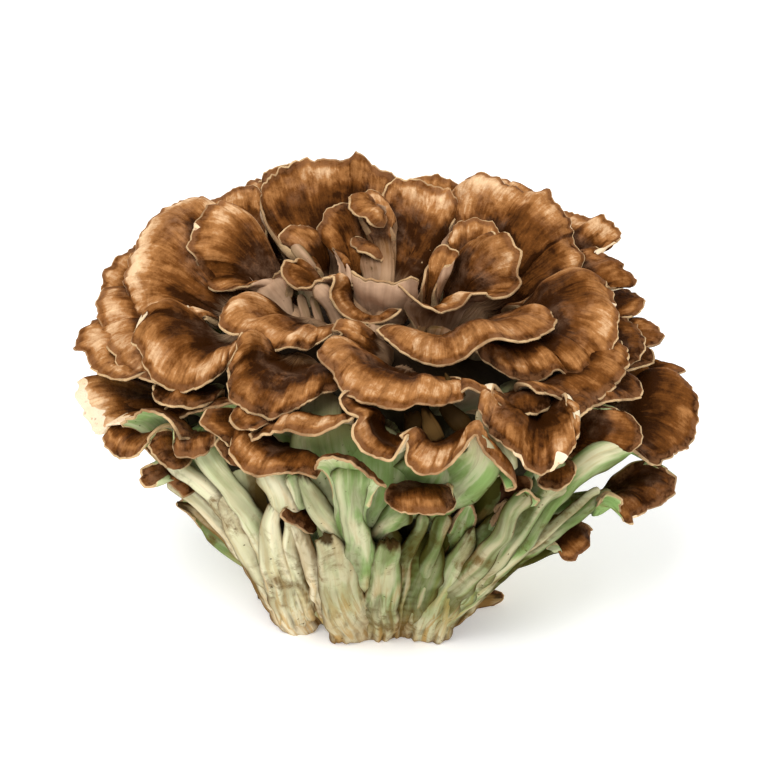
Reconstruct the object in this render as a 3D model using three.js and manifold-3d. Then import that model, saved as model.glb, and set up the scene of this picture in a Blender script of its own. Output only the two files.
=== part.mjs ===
// A cluster of maitake, also called hen of the woods: one fungus that grew as a single piece.
// A cut foot carries fused stalks, the stalks fan out into thin waved fronds, and the fronds overlap in a
// rosette. Millimetres, +Z up, the flat underside of the foot on Z = 0 and its middle at the origin.
//
// The fronds that face the front are laid out by marks on a front drawing: each mark is carried out along
// its line of sight to a stated depth Y. The fronds round the back follow one rule with seeded draws.

import * as THREE from "three";
import { mergeVertices } from "three/addons/utils/BufferGeometryUtils.js";
import Module from "manifold-3d";

const wasm = await Module();
wasm.setup();

// ---------------------------------------------------------------- driving sizes

// Ribs of fused stalks round it: how many, how deep as a share of its width, how unevenly spaced, and the
// height where they end.
const RIBS = { count: 10, deep: 0.08, uneven: 0.4, upTo: 70 };
// The solid middle that every stalk runs into: height, half width along X, half depth along Y.
const HEART = [
  [-6, 40, 33],
  [10, 42, 35],
  [46, 63, 54],
  [66, 79, 66],
  [86, 90, 74],
  [104, 84, 68],
  [116, 56, 47],
  [122, 24, 22],
];
const HEART_SIDES = 2 * RIBS.count;

const BLADE = 2.4; // thickness of a frond near its lip
const STALK = { widths: [10, 13], thick: 7, rootThick: 10 }; // widths at the neck and at the root
const LIP_STEP = 14.8; // a lip is drawn with corners this far apart, between 3 and 11 steps
const LARGE_LIP = 100; // from this length on a frond gets one more row of corners
const WIDE_LIP = 60; // from this length on its neck is drawn with two steps
const LONG_STALK = 70; // from this length on a stalk gets a ring of corners halfway
const THINNEST = 0.9;
const FLARE = 0.6; // above 0 a frond widens early, and below 0 it stays a narrow funnel
const SUNK = 8; // how far a stalk runs on inside the heart

// The front drawing: its size in marks, the scale where it is true, and where it is seen from.
const DRAWING = { centre: 384, mmPerMark: 0.4, distance: 900, elevation: 26, aim: [3, 0, 96] };

const SKIN = { color: 0x8a5a34, roughness: 0.75, metalness: 0 };

// ---------------------------------------------------------------- small helpers

const V = (x, y, z) => new THREE.Vector3(x, y, z);
const lerp = THREE.MathUtils.lerp;
const clamp = THREE.MathUtils.clamp;
const smooth = (x) => THREE.MathUtils.smoothstep(x, 0, 1);
const radians = THREE.MathUtils.degToRad;
const UP = V(0, 0, 1);

// A repeatable random number source, so that the same cluster grows each time.
function seeded(seed) {
  let state = seed >>> 0;
  return () => {
    state = (Math.imul(state, 1664525) + 1013904223) >>> 0;
    return state / 4294967296;
  };
}

// The value at t of the parabola through first, middle and last.
const through = ([first, middle, last], t) =>
  first * (1 - t) * (1 - 2 * t) + middle * 4 * t * (1 - t) + last * t * (2 * t - 1);

const elevation = radians(DRAWING.elevation);
const forward = V(0, Math.cos(elevation), -Math.sin(elevation));
const rise = V(0, Math.sin(elevation), Math.cos(elevation));
const eye = V(...DRAWING.aim).addScaledVector(forward, -DRAWING.distance);

// The point at depth y on the line of sight through a mark of the front drawing.
function sighted([across, down], y) {
  const perMark = DRAWING.mmPerMark / DRAWING.distance;
  const way = forward
    .clone()
    .add(V((across - DRAWING.centre) * perMark, 0, 0))
    .addScaledVector(rise, (DRAWING.centre - down) * perMark);
  return eye.clone().addScaledVector(way, (y - eye.y) / way.y);
}

// ---------------------------------------------------------------- the fronds that face the front
// lip: marks along the free edge. depth: Y of the lip at its start, middle and end. neck: mark and depth
// where the frond leaves its stalk, or reach and fall, how far inwards and down from the lip's middle it
// lies. hump: how far the upper face arches. flare: how early it widens, where that isn't the usual way.
// root: where the stalk ends, if it isn't in the heart. stalk: its widths at the neck and at the root, where
// they aren't the usual ones.

const FRONT_FRONDS = [
  {
    name: "left_shell",
    lip: [[204, 200], [184, 201], [158, 214], [142, 234], [127, 268], [125, 284], [130, 302], [138, 316],
      [158, 318], [180, 320], [198, 326]],
    depth: [56, 24, -8],
    neck: [238, 318, 2],
    hump: 12,
  },
  {
    name: "back_left",
    lip: [[196, 212], [204, 201], [219, 199], [228, 192], [240, 187], [250, 185], [258, 187], [266, 200]],
    depth: [56, 66, 56],
    neck: [250, 285, 30],
    hump: 4,
  },
  {
    name: "left_inner",
    lip: [[245, 222], [235, 207], [218, 202], [207, 208], [195, 221], [188, 248], [197, 262], [197, 276],
      [211, 291], [228, 291], [252, 285], [262, 282], [280, 272]],
    depth: [42, 12, 0],
    neck: [290, 312, 4],
    hump: 7,
    flare: 0.0,
  },
  {
    name: "back_centre",
    lip: [[263, 214], [260, 195], [268, 178], [285, 166], [300, 159], [320, 159], [350, 158], [358, 151],
      [372, 164], [395, 175], [403, 182]],
    depth: [42, 64, 54],
    neck: [335, 275, 24],
    hump: -3,
  },
  {
    name: "back_behind",
    lip: [[256, 190], [260, 178], [270, 170], [285, 164], [300, 168]],
    depth: [64, 72, 68],
    reach: 30,
    fall: 36,
    hump: 3,
  },
  {
    name: "back_bump",
    lip: [[404, 186], [412, 178], [425, 176], [438, 175], [452, 181], [464, 190]],
    depth: [62, 69, 64],
    reach: 28,
    fall: 36,
    hump: 3,
  },
  {
    name: "centre_back",
    lip: [[388, 232], [388, 210], [383, 198], [388, 183], [405, 178], [425, 182], [452, 192], [459, 206],
      [450, 226], [434, 243], [420, 264]],
    depth: [30, 50, 16],
    neck: [396, 296, 4],
    hump: -3,
  },
  {
    name: "centre_tongue",
    lip: [[384, 229], [374, 227], [365, 220], [355, 215], [347, 206], [348, 199], [356, 196], [364, 199]],
    depth: [12, 12, 20],
    neck: [378, 212, 23],
    hump: 3,
    flare: -0.1,
    stalk: [7, 9],
  },
  {
    name: "centre_tongue_back",
    lip: [[350, 200], [358, 193], [370, 191], [380, 194], [387, 203], [388, 214], [385, 224]],
    depth: [26, 34, 22],
    neck: [384, 250, 14],
    hump: 3,
    flare: 0.2,
    stalk: [7, 9],
  },
  {
    name: "centre_left",
    lip: [[350, 203], [340, 204], [330, 207], [324, 213], [321, 222], [316, 231], [319, 239], [330, 247],
      [340, 258], [346, 270]],
    depth: [30, 16, 2],
    neck: [358, 298, 0],
    hump: 4,
  },
  {
    name: "left_tongue",
    lip: [[314, 268], [306, 258], [293, 247], [281, 243], [278, 236], [285, 229], [298, 225], [309, 229],
      [315, 240], [319, 254]],
    depth: [4, 12, 20],
    neck: [322, 284, 8],
    hump: 4,
    flare: 0.2,
    stalk: [8, 9],
  },
  {
    name: "centre_curl",
    lip: [[302, 260], [286, 261], [280, 270], [284, 280], [293, 288], [303, 289], [318, 282], [331, 276],
      [334, 282], [329, 291], [332, 303], [341, 314], [354, 322], [368, 324], [382, 323], [395, 316],
      [402, 309]],
    depth: [2, -16, -20],
    neck: [350, 336, -4],
    hump: 7,
    flare: -0.35,
  },
  {
    name: "centre_tip",
    lip: [[382, 263], [374, 259], [365, 254], [356, 251], [350, 245], [351, 240], [356, 238]],
    depth: [6, 6, 12],
    neck: [372, 249, 16],
    hump: 2,
    flare: 0.2,
    stalk: [8, 9],
  },
  {
    name: "centre_cup",
    lip: [[351, 269], [357, 275], [370, 278], [388, 281], [404, 280], [413, 276], [418, 281], [415, 288]],
    depth: [-6, -14, -8],
    neck: [384, 326, 2],
    hump: -2,
    flare: 0.3,
    stalk: [14, 12],
  },
  {
    name: "right_back_oval",
    lip: [[446, 250], [450, 235], [458, 223], [470, 219], [484, 219], [496, 226], [504, 240]],
    depth: [20, 34, 24],
    neck: [462, 292, 14],
    hump: 3,
  },
  {
    name: "right_ruffle",
    lip: [[466, 262], [472, 244], [485, 235], [503, 233], [515, 242], [522, 260], [518, 270], [522, 283],
      [512, 295], [498, 299], [482, 294], [473, 294], [464, 305], [448, 312], [430, 309], [412, 297],
      [398, 284]],
    depth: [22, -14, -14],
    neck: [432, 348, 0],
    hump: 7,
    flare: -0.2,
    stalk: [14, 14],
  },
  {
    name: "right_upright",
    lip: [[421, 289], [428, 264], [436, 249], [447, 243], [452, 249], [459, 253], [455, 259], [444, 268],
      [434, 290]],
    depth: [-6, 8, -6],
    neck: [424, 318, -4],
    hump: 2,
    flare: -0.5,
    stalk: [8, 9],
  },
  {
    name: "back_right",
    lip: [[455, 197], [462, 184], [480, 173], [496, 178], [515, 188], [535, 194], [548, 189], [555, 202],
      [575, 228], [572, 238], [584, 258], [578, 273], [570, 290], [550, 300], [522, 312]],
    depth: [60, 50, 2],
    neck: [478, 312, 12],
    hump: 8,
  },
  {
    name: "far_right_back",
    lip: [[556, 206], [570, 212], [592, 218], [606, 217], [622, 236], [606, 247], [590, 258]],
    depth: [60, 60, 44],
    reach: 34,
    fall: 22,
    hump: 5,
  },
  {
    name: "right_stack_1",
    lip: [[590, 246], [606, 254], [622, 265], [636, 284], [622, 288], [604, 287]],
    depth: [46, 38, 22],
    reach: 32,
    fall: 14,
    hump: 5,
  },
  {
    name: "right_stack_2",
    lip: [[622, 288], [638, 295], [645, 303], [637, 315], [622, 318]],
    depth: [40, 32, 18],
    reach: 32,
    fall: 14,
    hump: 4,
  },
  {
    name: "right_stack_3",
    lip: [[630, 318], [650, 322], [664, 334], [660, 344], [642, 348]],
    depth: [30, 22, 8],
    reach: 34,
    fall: 14,
    hump: 5,
  },
  {
    name: "right_stack_4",
    lip: [[616, 316], [636, 325], [646, 342], [640, 358], [626, 368]],
    depth: [4, -8, -20],
    reach: 32,
    fall: 14,
    hump: 6,
  },
  {
    name: "right_stack_5",
    lip: [[640, 346], [653, 352], [655, 362], [640, 368], [624, 372]],
    depth: [4, -4, -16],
    reach: 30,
    fall: 12,
    hump: 4,
  },
  {
    name: "right_stack_6",
    lip: [[650, 362], [668, 365], [687, 371], [676, 376], [660, 384], [640, 390]],
    depth: [16, 6, -10],
    reach: 36,
    fall: 12,
    hump: 5,
  },
  {
    name: "right_front_big",
    lip: [[574, 276], [590, 275], [606, 285], [617, 305], [618, 330], [612, 354], [599, 368], [592, 366],
      [583, 377], [568, 377], [558, 371], [540, 382], [520, 382], [500, 372], [485, 362], [475, 353]],
    depth: [14, -42, -46],
    neck: [500, 340, -18],
    hump: 10,
    flare: 0.3,
  },
  {
    name: "right_long",
    lip: [[376, 331], [390, 344], [410, 358], [435, 367], [460, 362], [478, 349], [495, 340], [520, 343],
      [540, 338], [557, 324], [550, 314], [534, 312]],
    depth: [-34, -60, -18],
    neck: [450, 342, -16],
    hump: 7,
    flare: -0.2,
    stalk: [14, 14],
  },
  {
    name: "left_long",
    lip: [[250, 302], [230, 305], [219, 320], [226, 334], [245, 337], [258, 348], [272, 353], [288, 348],
      [305, 351], [323, 341], [334, 334]],
    depth: [-8, -44, -38],
    neck: [304, 326, -12],
    hump: 6,
  },
  {
    name: "centre_upper",
    lip: [[350, 322], [338, 320], [331, 330], [340, 333], [330, 343], [324, 350]],
    depth: [-36, -44, -52],
    neck: [376, 350, -36],
    hump: 3,
  },
  {
    name: "left_lower_big",
    lip: [[172, 319], [152, 318], [139, 327], [131, 343], [139, 350], [146, 370], [160, 386], [180, 393],
      [200, 388], [218, 377], [230, 363], [238, 350]],
    depth: [-6, -44, -50],
    neck: [230, 342, -18],
    hump: 10,
  },
  {
    name: "left_edge_upper",
    lip: [[142, 240], [128, 252], [112, 262], [101, 280], [104, 296]],
    depth: [42, 36, 26],
    reach: 34,
    fall: 18,
    hump: 6,
  },
  {
    name: "left_edge",
    lip: [[106, 288], [97, 300], [98, 314], [102, 340], [115, 357], [120, 368], [138, 378], [156, 384]],
    depth: [26, -4, -42],
    reach: 40,
    fall: 14,
    hump: 10,
  },
  {
    name: "left_edge_lower",
    lip: [[104, 320], [92, 323], [79, 333], [75, 350], [84, 352], [92, 370], [110, 379], [126, 381]],
    depth: [18, -2, -30],
    reach: 40,
    fall: 12,
    hump: 8,
  },
  {
    name: "left_torn",
    lip: [[96, 380], [78, 384], [75, 394], [79, 405], [88, 425], [97, 435], [106, 426], [124, 424]],
    depth: [4, -18, -42],
    reach: 40,
    fall: 8,
    hump: 6,
  },
  {
    name: "left_under",
    lip: [[120, 426], [130, 418], [145, 411], [165, 418], [174, 428], [180, 440]],
    depth: [-44, -52, -58],
    neck: [196, 462, -38],
    hump: 5,
  },
  {
    name: "left_ball",
    lip: [[106, 428], [103, 441], [112, 456], [130, 459], [141, 453], [148, 438]],
    depth: [-34, -44, -50],
    reach: 32,
    fall: 0,
    hump: 8,
  },
  {
    name: "left_shaded",
    lip: [[152, 386], [152, 396], [158, 404], [178, 408], [196, 409], [214, 402]],
    depth: [-40, -52, -54],
    neck: [212, 394, -26],
    hump: 5,
  },
  {
    name: "left_shaded_low",
    lip: [[170, 404], [163, 413], [172, 421], [188, 415], [208, 409], [234, 404]],
    depth: [-44, -52, -54],
    reach: 22,
    fall: 12,
    hump: 5,
  },
  {
    name: "middle_left_a",
    lip: [[216, 408], [203, 413], [199, 424], [214, 434], [228, 446]],
    depth: [-72, -78, -78],
    reach: 24,
    fall: 14,
    hump: 6,
  },
  {
    name: "middle_left_b",
    lip: [[240, 407], [231, 414], [230, 424], [240, 430], [256, 430]],
    depth: [-76, -82, -84],
    reach: 24,
    fall: 8,
    hump: 6,
  },
  {
    name: "middle_left_c",
    lip: [[222, 436], [214, 444], [220, 454], [228, 463], [238, 466]],
    depth: [-66, -70, -68],
    reach: 22,
    fall: 14,
    hump: 5,
  },
  {
    name: "left_knob",
    lip: [[176, 439], [172, 447], [177, 456], [192, 459], [206, 454], [215, 445]],
    depth: [-54, -60, -62],
    neck: [199, 437, -46],
    hump: 6,
    root: [275, 585, -34],
  },
  {
    name: "left_knob_low",
    lip: [[158, 432], [148, 440], [152, 455], [168, 468], [180, 470]],
    depth: [-46, -52, -54],
    neck: [182, 448, -40],
    hump: 4,
    root: [270, 580, -28],
  },
  {
    name: "left_finger",
    lip: [[158, 464], [144, 467], [139, 477], [143, 487], [152, 487], [161, 481], [172, 487], [183, 498]],
    depth: [-40, -48, -46],
    neck: [186, 476, -34],
    hump: 4,
    root: [268, 585, -24],
  },
  {
    name: "left_bowl",
    lip: [[254, 344], [238, 344], [236, 354], [227, 376], [230, 400], [246, 411], [268, 420], [288, 414],
      [303, 406], [322, 395], [340, 388], [326, 376]],
    depth: [-48, -80, -62],
    neck: [294, 364, -42],
    hump: 7,
  },
  {
    name: "front_centre",
    lip: [[332, 348], [318, 352], [320, 362], [331, 372], [340, 390], [358, 402], [378, 407], [400, 411],
      [418, 405], [436, 407], [450, 404], [462, 400], [458, 390]],
    depth: [-54, -88, -72],
    neck: [404, 376, -46],
    hump: 8,
  },
  {
    name: "front_wedge",
    lip: [[250, 434], [251, 441], [266, 435], [290, 432], [310, 437], [332, 429], [348, 421], [357, 416]],
    depth: [-80, -96, -92],
    neck: [334, 478, -66],
    hump: 12,
    flare: -0.3,
    root: [330, 600, -40],
    stalk: [18, 18],
  },
  {
    name: "left_front_oval",
    lip: [[252, 431], [236, 436], [229, 450], [238, 467], [254, 477], [276, 475], [298, 474], [316, 479]],
    depth: [-74, -92, -96],
    neck: [288, 444, -62],
    hump: 7,
    root: [310, 590, -40],
    stalk: [12, 16],
  },
  {
    name: "front_t_cap",
    lip: [[314, 470], [318, 461], [333, 458], [352, 464], [368, 476], [386, 488]],
    depth: [-98, -106, -100],
    neck: [350, 512, -82],
    hump: 6,
    flare: -0.5,
    root: [352, 600, -42],
    stalk: [12, 16],
  },
  {
    name: "front_ribbon_a",
    lip: [[346, 392], [339, 400], [346, 413], [358, 419], [352, 428], [356, 445], [372, 457], [390, 461],
      [400, 448], [406, 436]],
    depth: [-82, -104, -96],
    neck: [386, 430, -66],
    hump: 4,
  },
  {
    name: "front_ribbon_b",
    lip: [[400, 436], [406, 445], [406, 464], [420, 475], [440, 473], [458, 457], [470, 440], [476, 436],
      [482, 450], [500, 469], [516, 487], [506, 492]],
    depth: [-96, -102, -96],
    neck: [442, 452, -68],
    hump: 8,
    flare: -0.2,
    root: [420, 590, -38],
    stalk: [18, 20],
  },
  {
    name: "low_centre_cap",
    lip: [[388, 490], [384, 499], [390, 506], [404, 513], [430, 514], [447, 514], [455, 507], [451, 496],
      [442, 488]],
    depth: [-90, -94, -86],
    neck: [417, 486, -74],
    hump: 7,
    root: [378, 590, -38],
    stalk: [11, 14],
  },
  {
    name: "gap_cap",
    lip: [[436, 492], [446, 488], [458, 488], [467, 492], [470, 499], [462, 503], [449, 503]],
    depth: [-66, -72, -68],
    neck: [440, 506, -58],
    hump: 4,
    flare: 0.2,
    root: [424, 590, -36],
    stalk: [8, 10],
  },
  {
    name: "gap_leaf",
    lip: [[506, 484], [516, 478], [526, 476], [533, 484], [529, 492], [516, 498], [506, 500]],
    depth: [-66, -74, -72],
    neck: [500, 512, -60],
    hump: 4,
    flare: 0.2,
    root: [440, 600, -34],
    stalk: [8, 10],
  },
  {
    name: "right_front_fan",
    lip: [[490, 401], [479, 406], [482, 419], [492, 437], [515, 455], [530, 472], [544, 475], [562, 463],
      [574, 448], [578, 430], [574, 414], [566, 405]],
    depth: [-74, -96, -70],
    neck: [530, 408, -50],
    hump: 8,
  },
  {
    name: "right_inner_brown",
    lip: [[502, 412], [512, 418], [528, 416], [543, 413], [551, 406]],
    depth: [-62, -66, -62],
    neck: [522, 392, -44],
    hump: 4,
  },
  {
    name: "right_inner_low",
    lip: [[460, 394], [468, 389], [484, 396], [500, 408], [503, 418], [490, 421]],
    depth: [-74, -76, -72],
    reach: 28,
    fall: 12,
    hump: 5,
  },
  {
    name: "right_middle_a",
    lip: [[614, 338], [627, 350], [629, 364], [618, 384], [600, 400], [575, 406], [552, 396], [536, 394]],
    depth: [-20, -54, -66],
    reach: 32,
    fall: 12,
    hump: 9,
  },
  {
    name: "right_middle_b",
    lip: [[628, 374], [642, 386], [641, 398], [612, 402], [592, 409], [576, 421]],
    depth: [-26, -50, -70],
    reach: 34,
    fall: 10,
    hump: 7,
  },
  {
    name: "right_middle_c",
    lip: [[596, 409], [618, 409], [636, 420], [643, 434], [634, 450], [616, 455], [600, 464]],
    depth: [-52, -56, -68],
    reach: 36,
    fall: 10,
    hump: 8,
  },
  {
    name: "right_far_big",
    lip: [[662, 378], [684, 381], [697, 397], [698, 420], [692, 444], [673, 456], [656, 466], [642, 458]],
    depth: [6, -20, -50],
    reach: 44,
    fall: 8,
    hump: 11,
  },
  {
    name: "right_low_fan",
    lip: [[656, 466], [672, 474], [677, 488], [666, 502], [645, 513], [628, 524], [621, 514], [624, 500]],
    depth: [-36, -46, -58],
    neck: [594, 502, -38],
    hump: 8,
    root: [452, 598, -24],
    stalk: [12, 18],
  },
  {
    name: "right_inner_small",
    lip: [[541, 474], [538, 485], [548, 491], [560, 490], [571, 483], [574, 474]],
    depth: [-78, -84, -78],
    neck: [557, 463, -64],
    hump: 4,
    root: [440, 600, -30],
  },
  {
    name: "right_low_curl",
    lip: [[557, 546], [564, 560], [576, 559], [588, 546], [592, 530]],
    depth: [-44, -46, -40],
    neck: [552, 530, -38],
    hump: 5,
    root: [462, 594, -22],
  },
  {
    name: "left_spur",
    lip: [[190, 514], [176, 504], [182, 498], [196, 503]],
    depth: [-12, -10, -14],
    neck: [216, 532, -12],
    hump: 1,
    root: [296, 596, -14],
    stalk: [10, 18],
  },
  {
    name: "front_curl",
    lip: [[280, 518], [284, 507], [304, 510], [320, 526]],
    depth: [-68, -74, -70],
    neck: [308, 548, -58],
    hump: 4,
    root: [322, 615, -34],
    stalk: [12, 18],
  },
  {
    name: "torn_stump",
    lip: [[374, 545], [382, 536], [402, 552]],
    depth: [-68, -70, -66],
    neck: [390, 575, -52],
    hump: 2,
    root: [386, 622, -30],
    stalk: [14, 20],
  },
  {
    name: "right_spur",
    lip: [[460, 512], [469, 503], [477, 516]],
    depth: [-70, -73, -70],
    neck: [456, 540, -58],
    hump: 1,
    root: [424, 606, -34],
    stalk: [10, 18],
  },
  {
    name: "right_stalk",
    lip: [[512, 500], [526, 490], [540, 501]],
    depth: [-76, -80, -76],
    neck: [498, 535, -60],
    hump: 2,
    root: [438, 606, -30],
    stalk: [12, 18],
  },
  {
    name: "foot_tongue",
    lip: [[480, 590], [500, 592], [503, 600], [486, 607]],
    depth: [-8, -8, -12],
    neck: [466, 599, -10],
    hump: 1,
    root: [430, 600, -8],
    stalk: [12, 16],
  },
  {
    name: "foot_stub",
    lip: [[259, 586], [261, 600], [274, 613]],
    depth: [-4, -6, -16],
    neck: [284, 596, -10],
    hump: 1,
    root: [306, 600, -10],
    stalk: [14, 16],
  },
];

// ---------------------------------------------------------------- the broad stalks under the front fronds
// line: marks down the stalk, each with the stalk's width in marks. depth: Y of the line at its top, middle
// and foot.

const FRONT_STALKS = [
  {
    name: "left_trunk",
    line: [[276, 504, 12], [271, 540, 22], [282, 584, 34], [300, 624, 38]],
    depth: [-64, -54, -30],
  },
  {
    name: "cream_stalk",
    line: [[282, 484, 30], [293, 520, 20], [298, 570, 20], [312, 618, 20]],
    depth: [-72, -60, -34],
  },
  {
    name: "middle_stalk",
    line: [[330, 464, 46], [338, 506, 28], [356, 536, 26], [364, 580, 28]],
    depth: [-82, -76, -50],
  },
  {
    name: "front_trunk",
    line: [[324, 540, 20], [337, 574, 40], [352, 620, 54]],
    depth: [-66, -52, -33],
  },
  {
    name: "torn_stalk",
    line: [[388, 545, 22], [384, 584, 34], [380, 632, 36]],
    depth: [-68, -52, -33],
  },
  {
    name: "right_spur",
    line: [[470, 530, 8], [458, 564, 28], [420, 632, 52]],
    depth: [-66, -56, -33],
  },
  {
    name: "long_diagonal",
    line: [[602, 454, 18], [548, 504, 22], [492, 566, 30], [424, 630, 38]],
    depth: [-64, -64, -32],
  },
];
const STALK_SIDES = 6;
const STALK_FLAT = 0.7; // its thickness as a share of its width
const STALK_RUN = 8; // how far it runs on past its last mark

// ---------------------------------------------------------------- where a stalk ends

// How far a point lies inside the heart, roughly in millimetres; negative outside.
function sunkIn(point) {
  let k = 0;
  while (k < HEART.length - 2 && HEART[k + 1][0] < point.z) k++;
  const u = clamp((point.z - HEART[k][0]) / (HEART[k + 1][0] - HEART[k][0]), 0, 1);
  const halfX = lerp(HEART[k][1], HEART[k + 1][1], u);
  const halfY = lerp(HEART[k][2], HEART[k + 1][2], u);
  const across = (1 - Math.hypot(point.x / halfX, point.y / halfY)) * Math.min(halfX, halfY);
  return Math.min(across, HEART[HEART.length - 1][0] - point.z);
}

// The end of a stalk that runs down and inwards from its neck until it is well inside the heart.
function rootBelow(neck) {
  const inward = V(-neck.x, -neck.y, 0);
  const step = inward.clone().divideScalar(Math.max(30, inward.length())).add(V(0, 0, -1)).normalize();
  const root = neck.clone().addScaledVector(step, SUNK);
  while (sunkIn(root) < SUNK) root.add(step);
  return root;
}

// ---------------------------------------------------------------- the rule for the fronds round the back
// Tiers from the crown down: height of the lip, how far out it stands as a share of the head's half width,
// number of fronds, first and last angle from the back, length and half width of a frond, its rise, and
// whether its stalk runs down to the foot. Neighbours in a tier stand by turns a little higher and lower.

const HEAD = { halfX: 122, halfY: 104 };
const BACK_TIERS = [
  { lip: 149, out: 0.82, count: 3, from: -27, to: 29, length: 34, wide: 28, rise: 50, low: false },
  { lip: 131, out: 0.92, count: 4, from: -48, to: 40, length: 37, wide: 32, rise: 32, low: false },
  { lip: 111, out: 0.98, count: 5, from: -58, to: 48, length: 40, wide: 31, rise: 20, low: false },
  { lip: 91, out: 0.92, count: 7, from: -82, to: 76, length: 38, wide: 28, rise: 12, low: false },
  { lip: 71, out: 0.77, count: 7, from: -98, to: 92, length: 30, wide: 23, rise: 8, low: true },
  { lip: 51, out: 0.61, count: 5, from: -98, to: 94, length: 22, wide: 18, rise: 14, low: true },
];
const BACK_SEED = 4107;
// How much the draws change a back frond: degrees round the head, millimetres up, share of its length and
// degrees of its rise; and how far neighbours stand above and below their tier.
const BACK_DRAWS = { angle: 10, height: 8, length: 0.32, rise: 14, stagger: 5 };

// A fan of one back frond: its neck lies inside the head and its lip is a wavy arc about that neck.
function backFrond(tier, index, draw) {
  const share = index / (tier.count - 1);
  const angle = radians(lerp(tier.from, tier.to, share) + (draw() - 0.5) * BACK_DRAWS.angle);
  const turnUp = index % 2 ? -BACK_DRAWS.stagger : BACK_DRAWS.stagger;
  const outward = V(Math.sin(angle), Math.cos(angle), 0);
  const sideways = V(Math.cos(angle), -Math.sin(angle), 0);
  const length = tier.length * (1 + (draw() - 0.5) * BACK_DRAWS.length);
  const rising = radians(tier.rise + (draw() - 0.5) * BACK_DRAWS.rise);
  const along = outward.clone().multiplyScalar(Math.cos(rising)).addScaledVector(UP, Math.sin(rising));
  const tip = V(
    outward.x * HEAD.halfX * tier.out,
    outward.y * HEAD.halfY * tier.out,
    tier.lip + turnUp + (draw() - 0.5) * BACK_DRAWS.height,
  );
  const neck = tip.clone().addScaledVector(along, -length);
  const half = radians(72 + 12 * draw());
  const waves = 2 + Math.floor(draw() * 3);
  const phase = draw() * 2 * Math.PI;
  const lip = [];
  const marks = 11;
  for (let i = 0; i < marks; i++) {
    const turn = lerp(-half, half, i / (marks - 1));
    const far = length * (1 + 0.07 * Math.sin(waves * 2 * turn + phase));
    const droop = 5 * (1 - Math.cos(turn)) + 2.2 * Math.sin(waves * 3 * turn + phase);
    lip.push(
      neck
        .clone()
        .addScaledVector(along, far * (0.42 + 0.58 * Math.cos(turn)))
        .addScaledVector(sideways, (far / length) * tier.wide * Math.sin(turn))
        .addScaledVector(UP, -droop),
    );
  }
  const root = tier.low
    ? V(outward.x * 38, outward.y * 32, 14 + 8 * draw())
    : rootBelow(neck);
  return { lip, neck, hump: 6 + 4 * draw(), root };
}

// ---------------------------------------------------------------- the shape of a frond

// A smooth curve through points, measured along its chords so that marks may be unevenly spaced.
class Edge {
  constructor(points) {
    this.points = points;
    this.at = [0];
    for (let i = 1; i < points.length; i++)
      this.at.push(this.at[i - 1] + points[i].distanceTo(points[i - 1]));
    this.length = this.at[points.length - 1];
  }

  slope(i) {
    const before = Math.max(i - 1, 0);
    const after = Math.min(i + 1, this.points.length - 1);
    return this.points[after]
      .clone()
      .sub(this.points[before])
      .divideScalar(this.at[after] - this.at[before]);
  }

  point(t) {
    const way = clamp(t, 0, 1) * this.length;
    let i = 0;
    while (i < this.points.length - 2 && this.at[i + 1] < way) i++;
    const step = this.at[i + 1] - this.at[i];
    const u = (way - this.at[i]) / step;
    return this.points[i]
      .clone()
      .multiplyScalar((1 + 2 * u) * (1 - u) ** 2)
      .addScaledVector(this.slope(i), step * u * (1 - u) ** 2)
      .addScaledVector(this.points[i + 1], u * u * (3 - 2 * u))
      .addScaledVector(this.slope(i + 1), step * u * u * (u - 1));
  }
}

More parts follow.
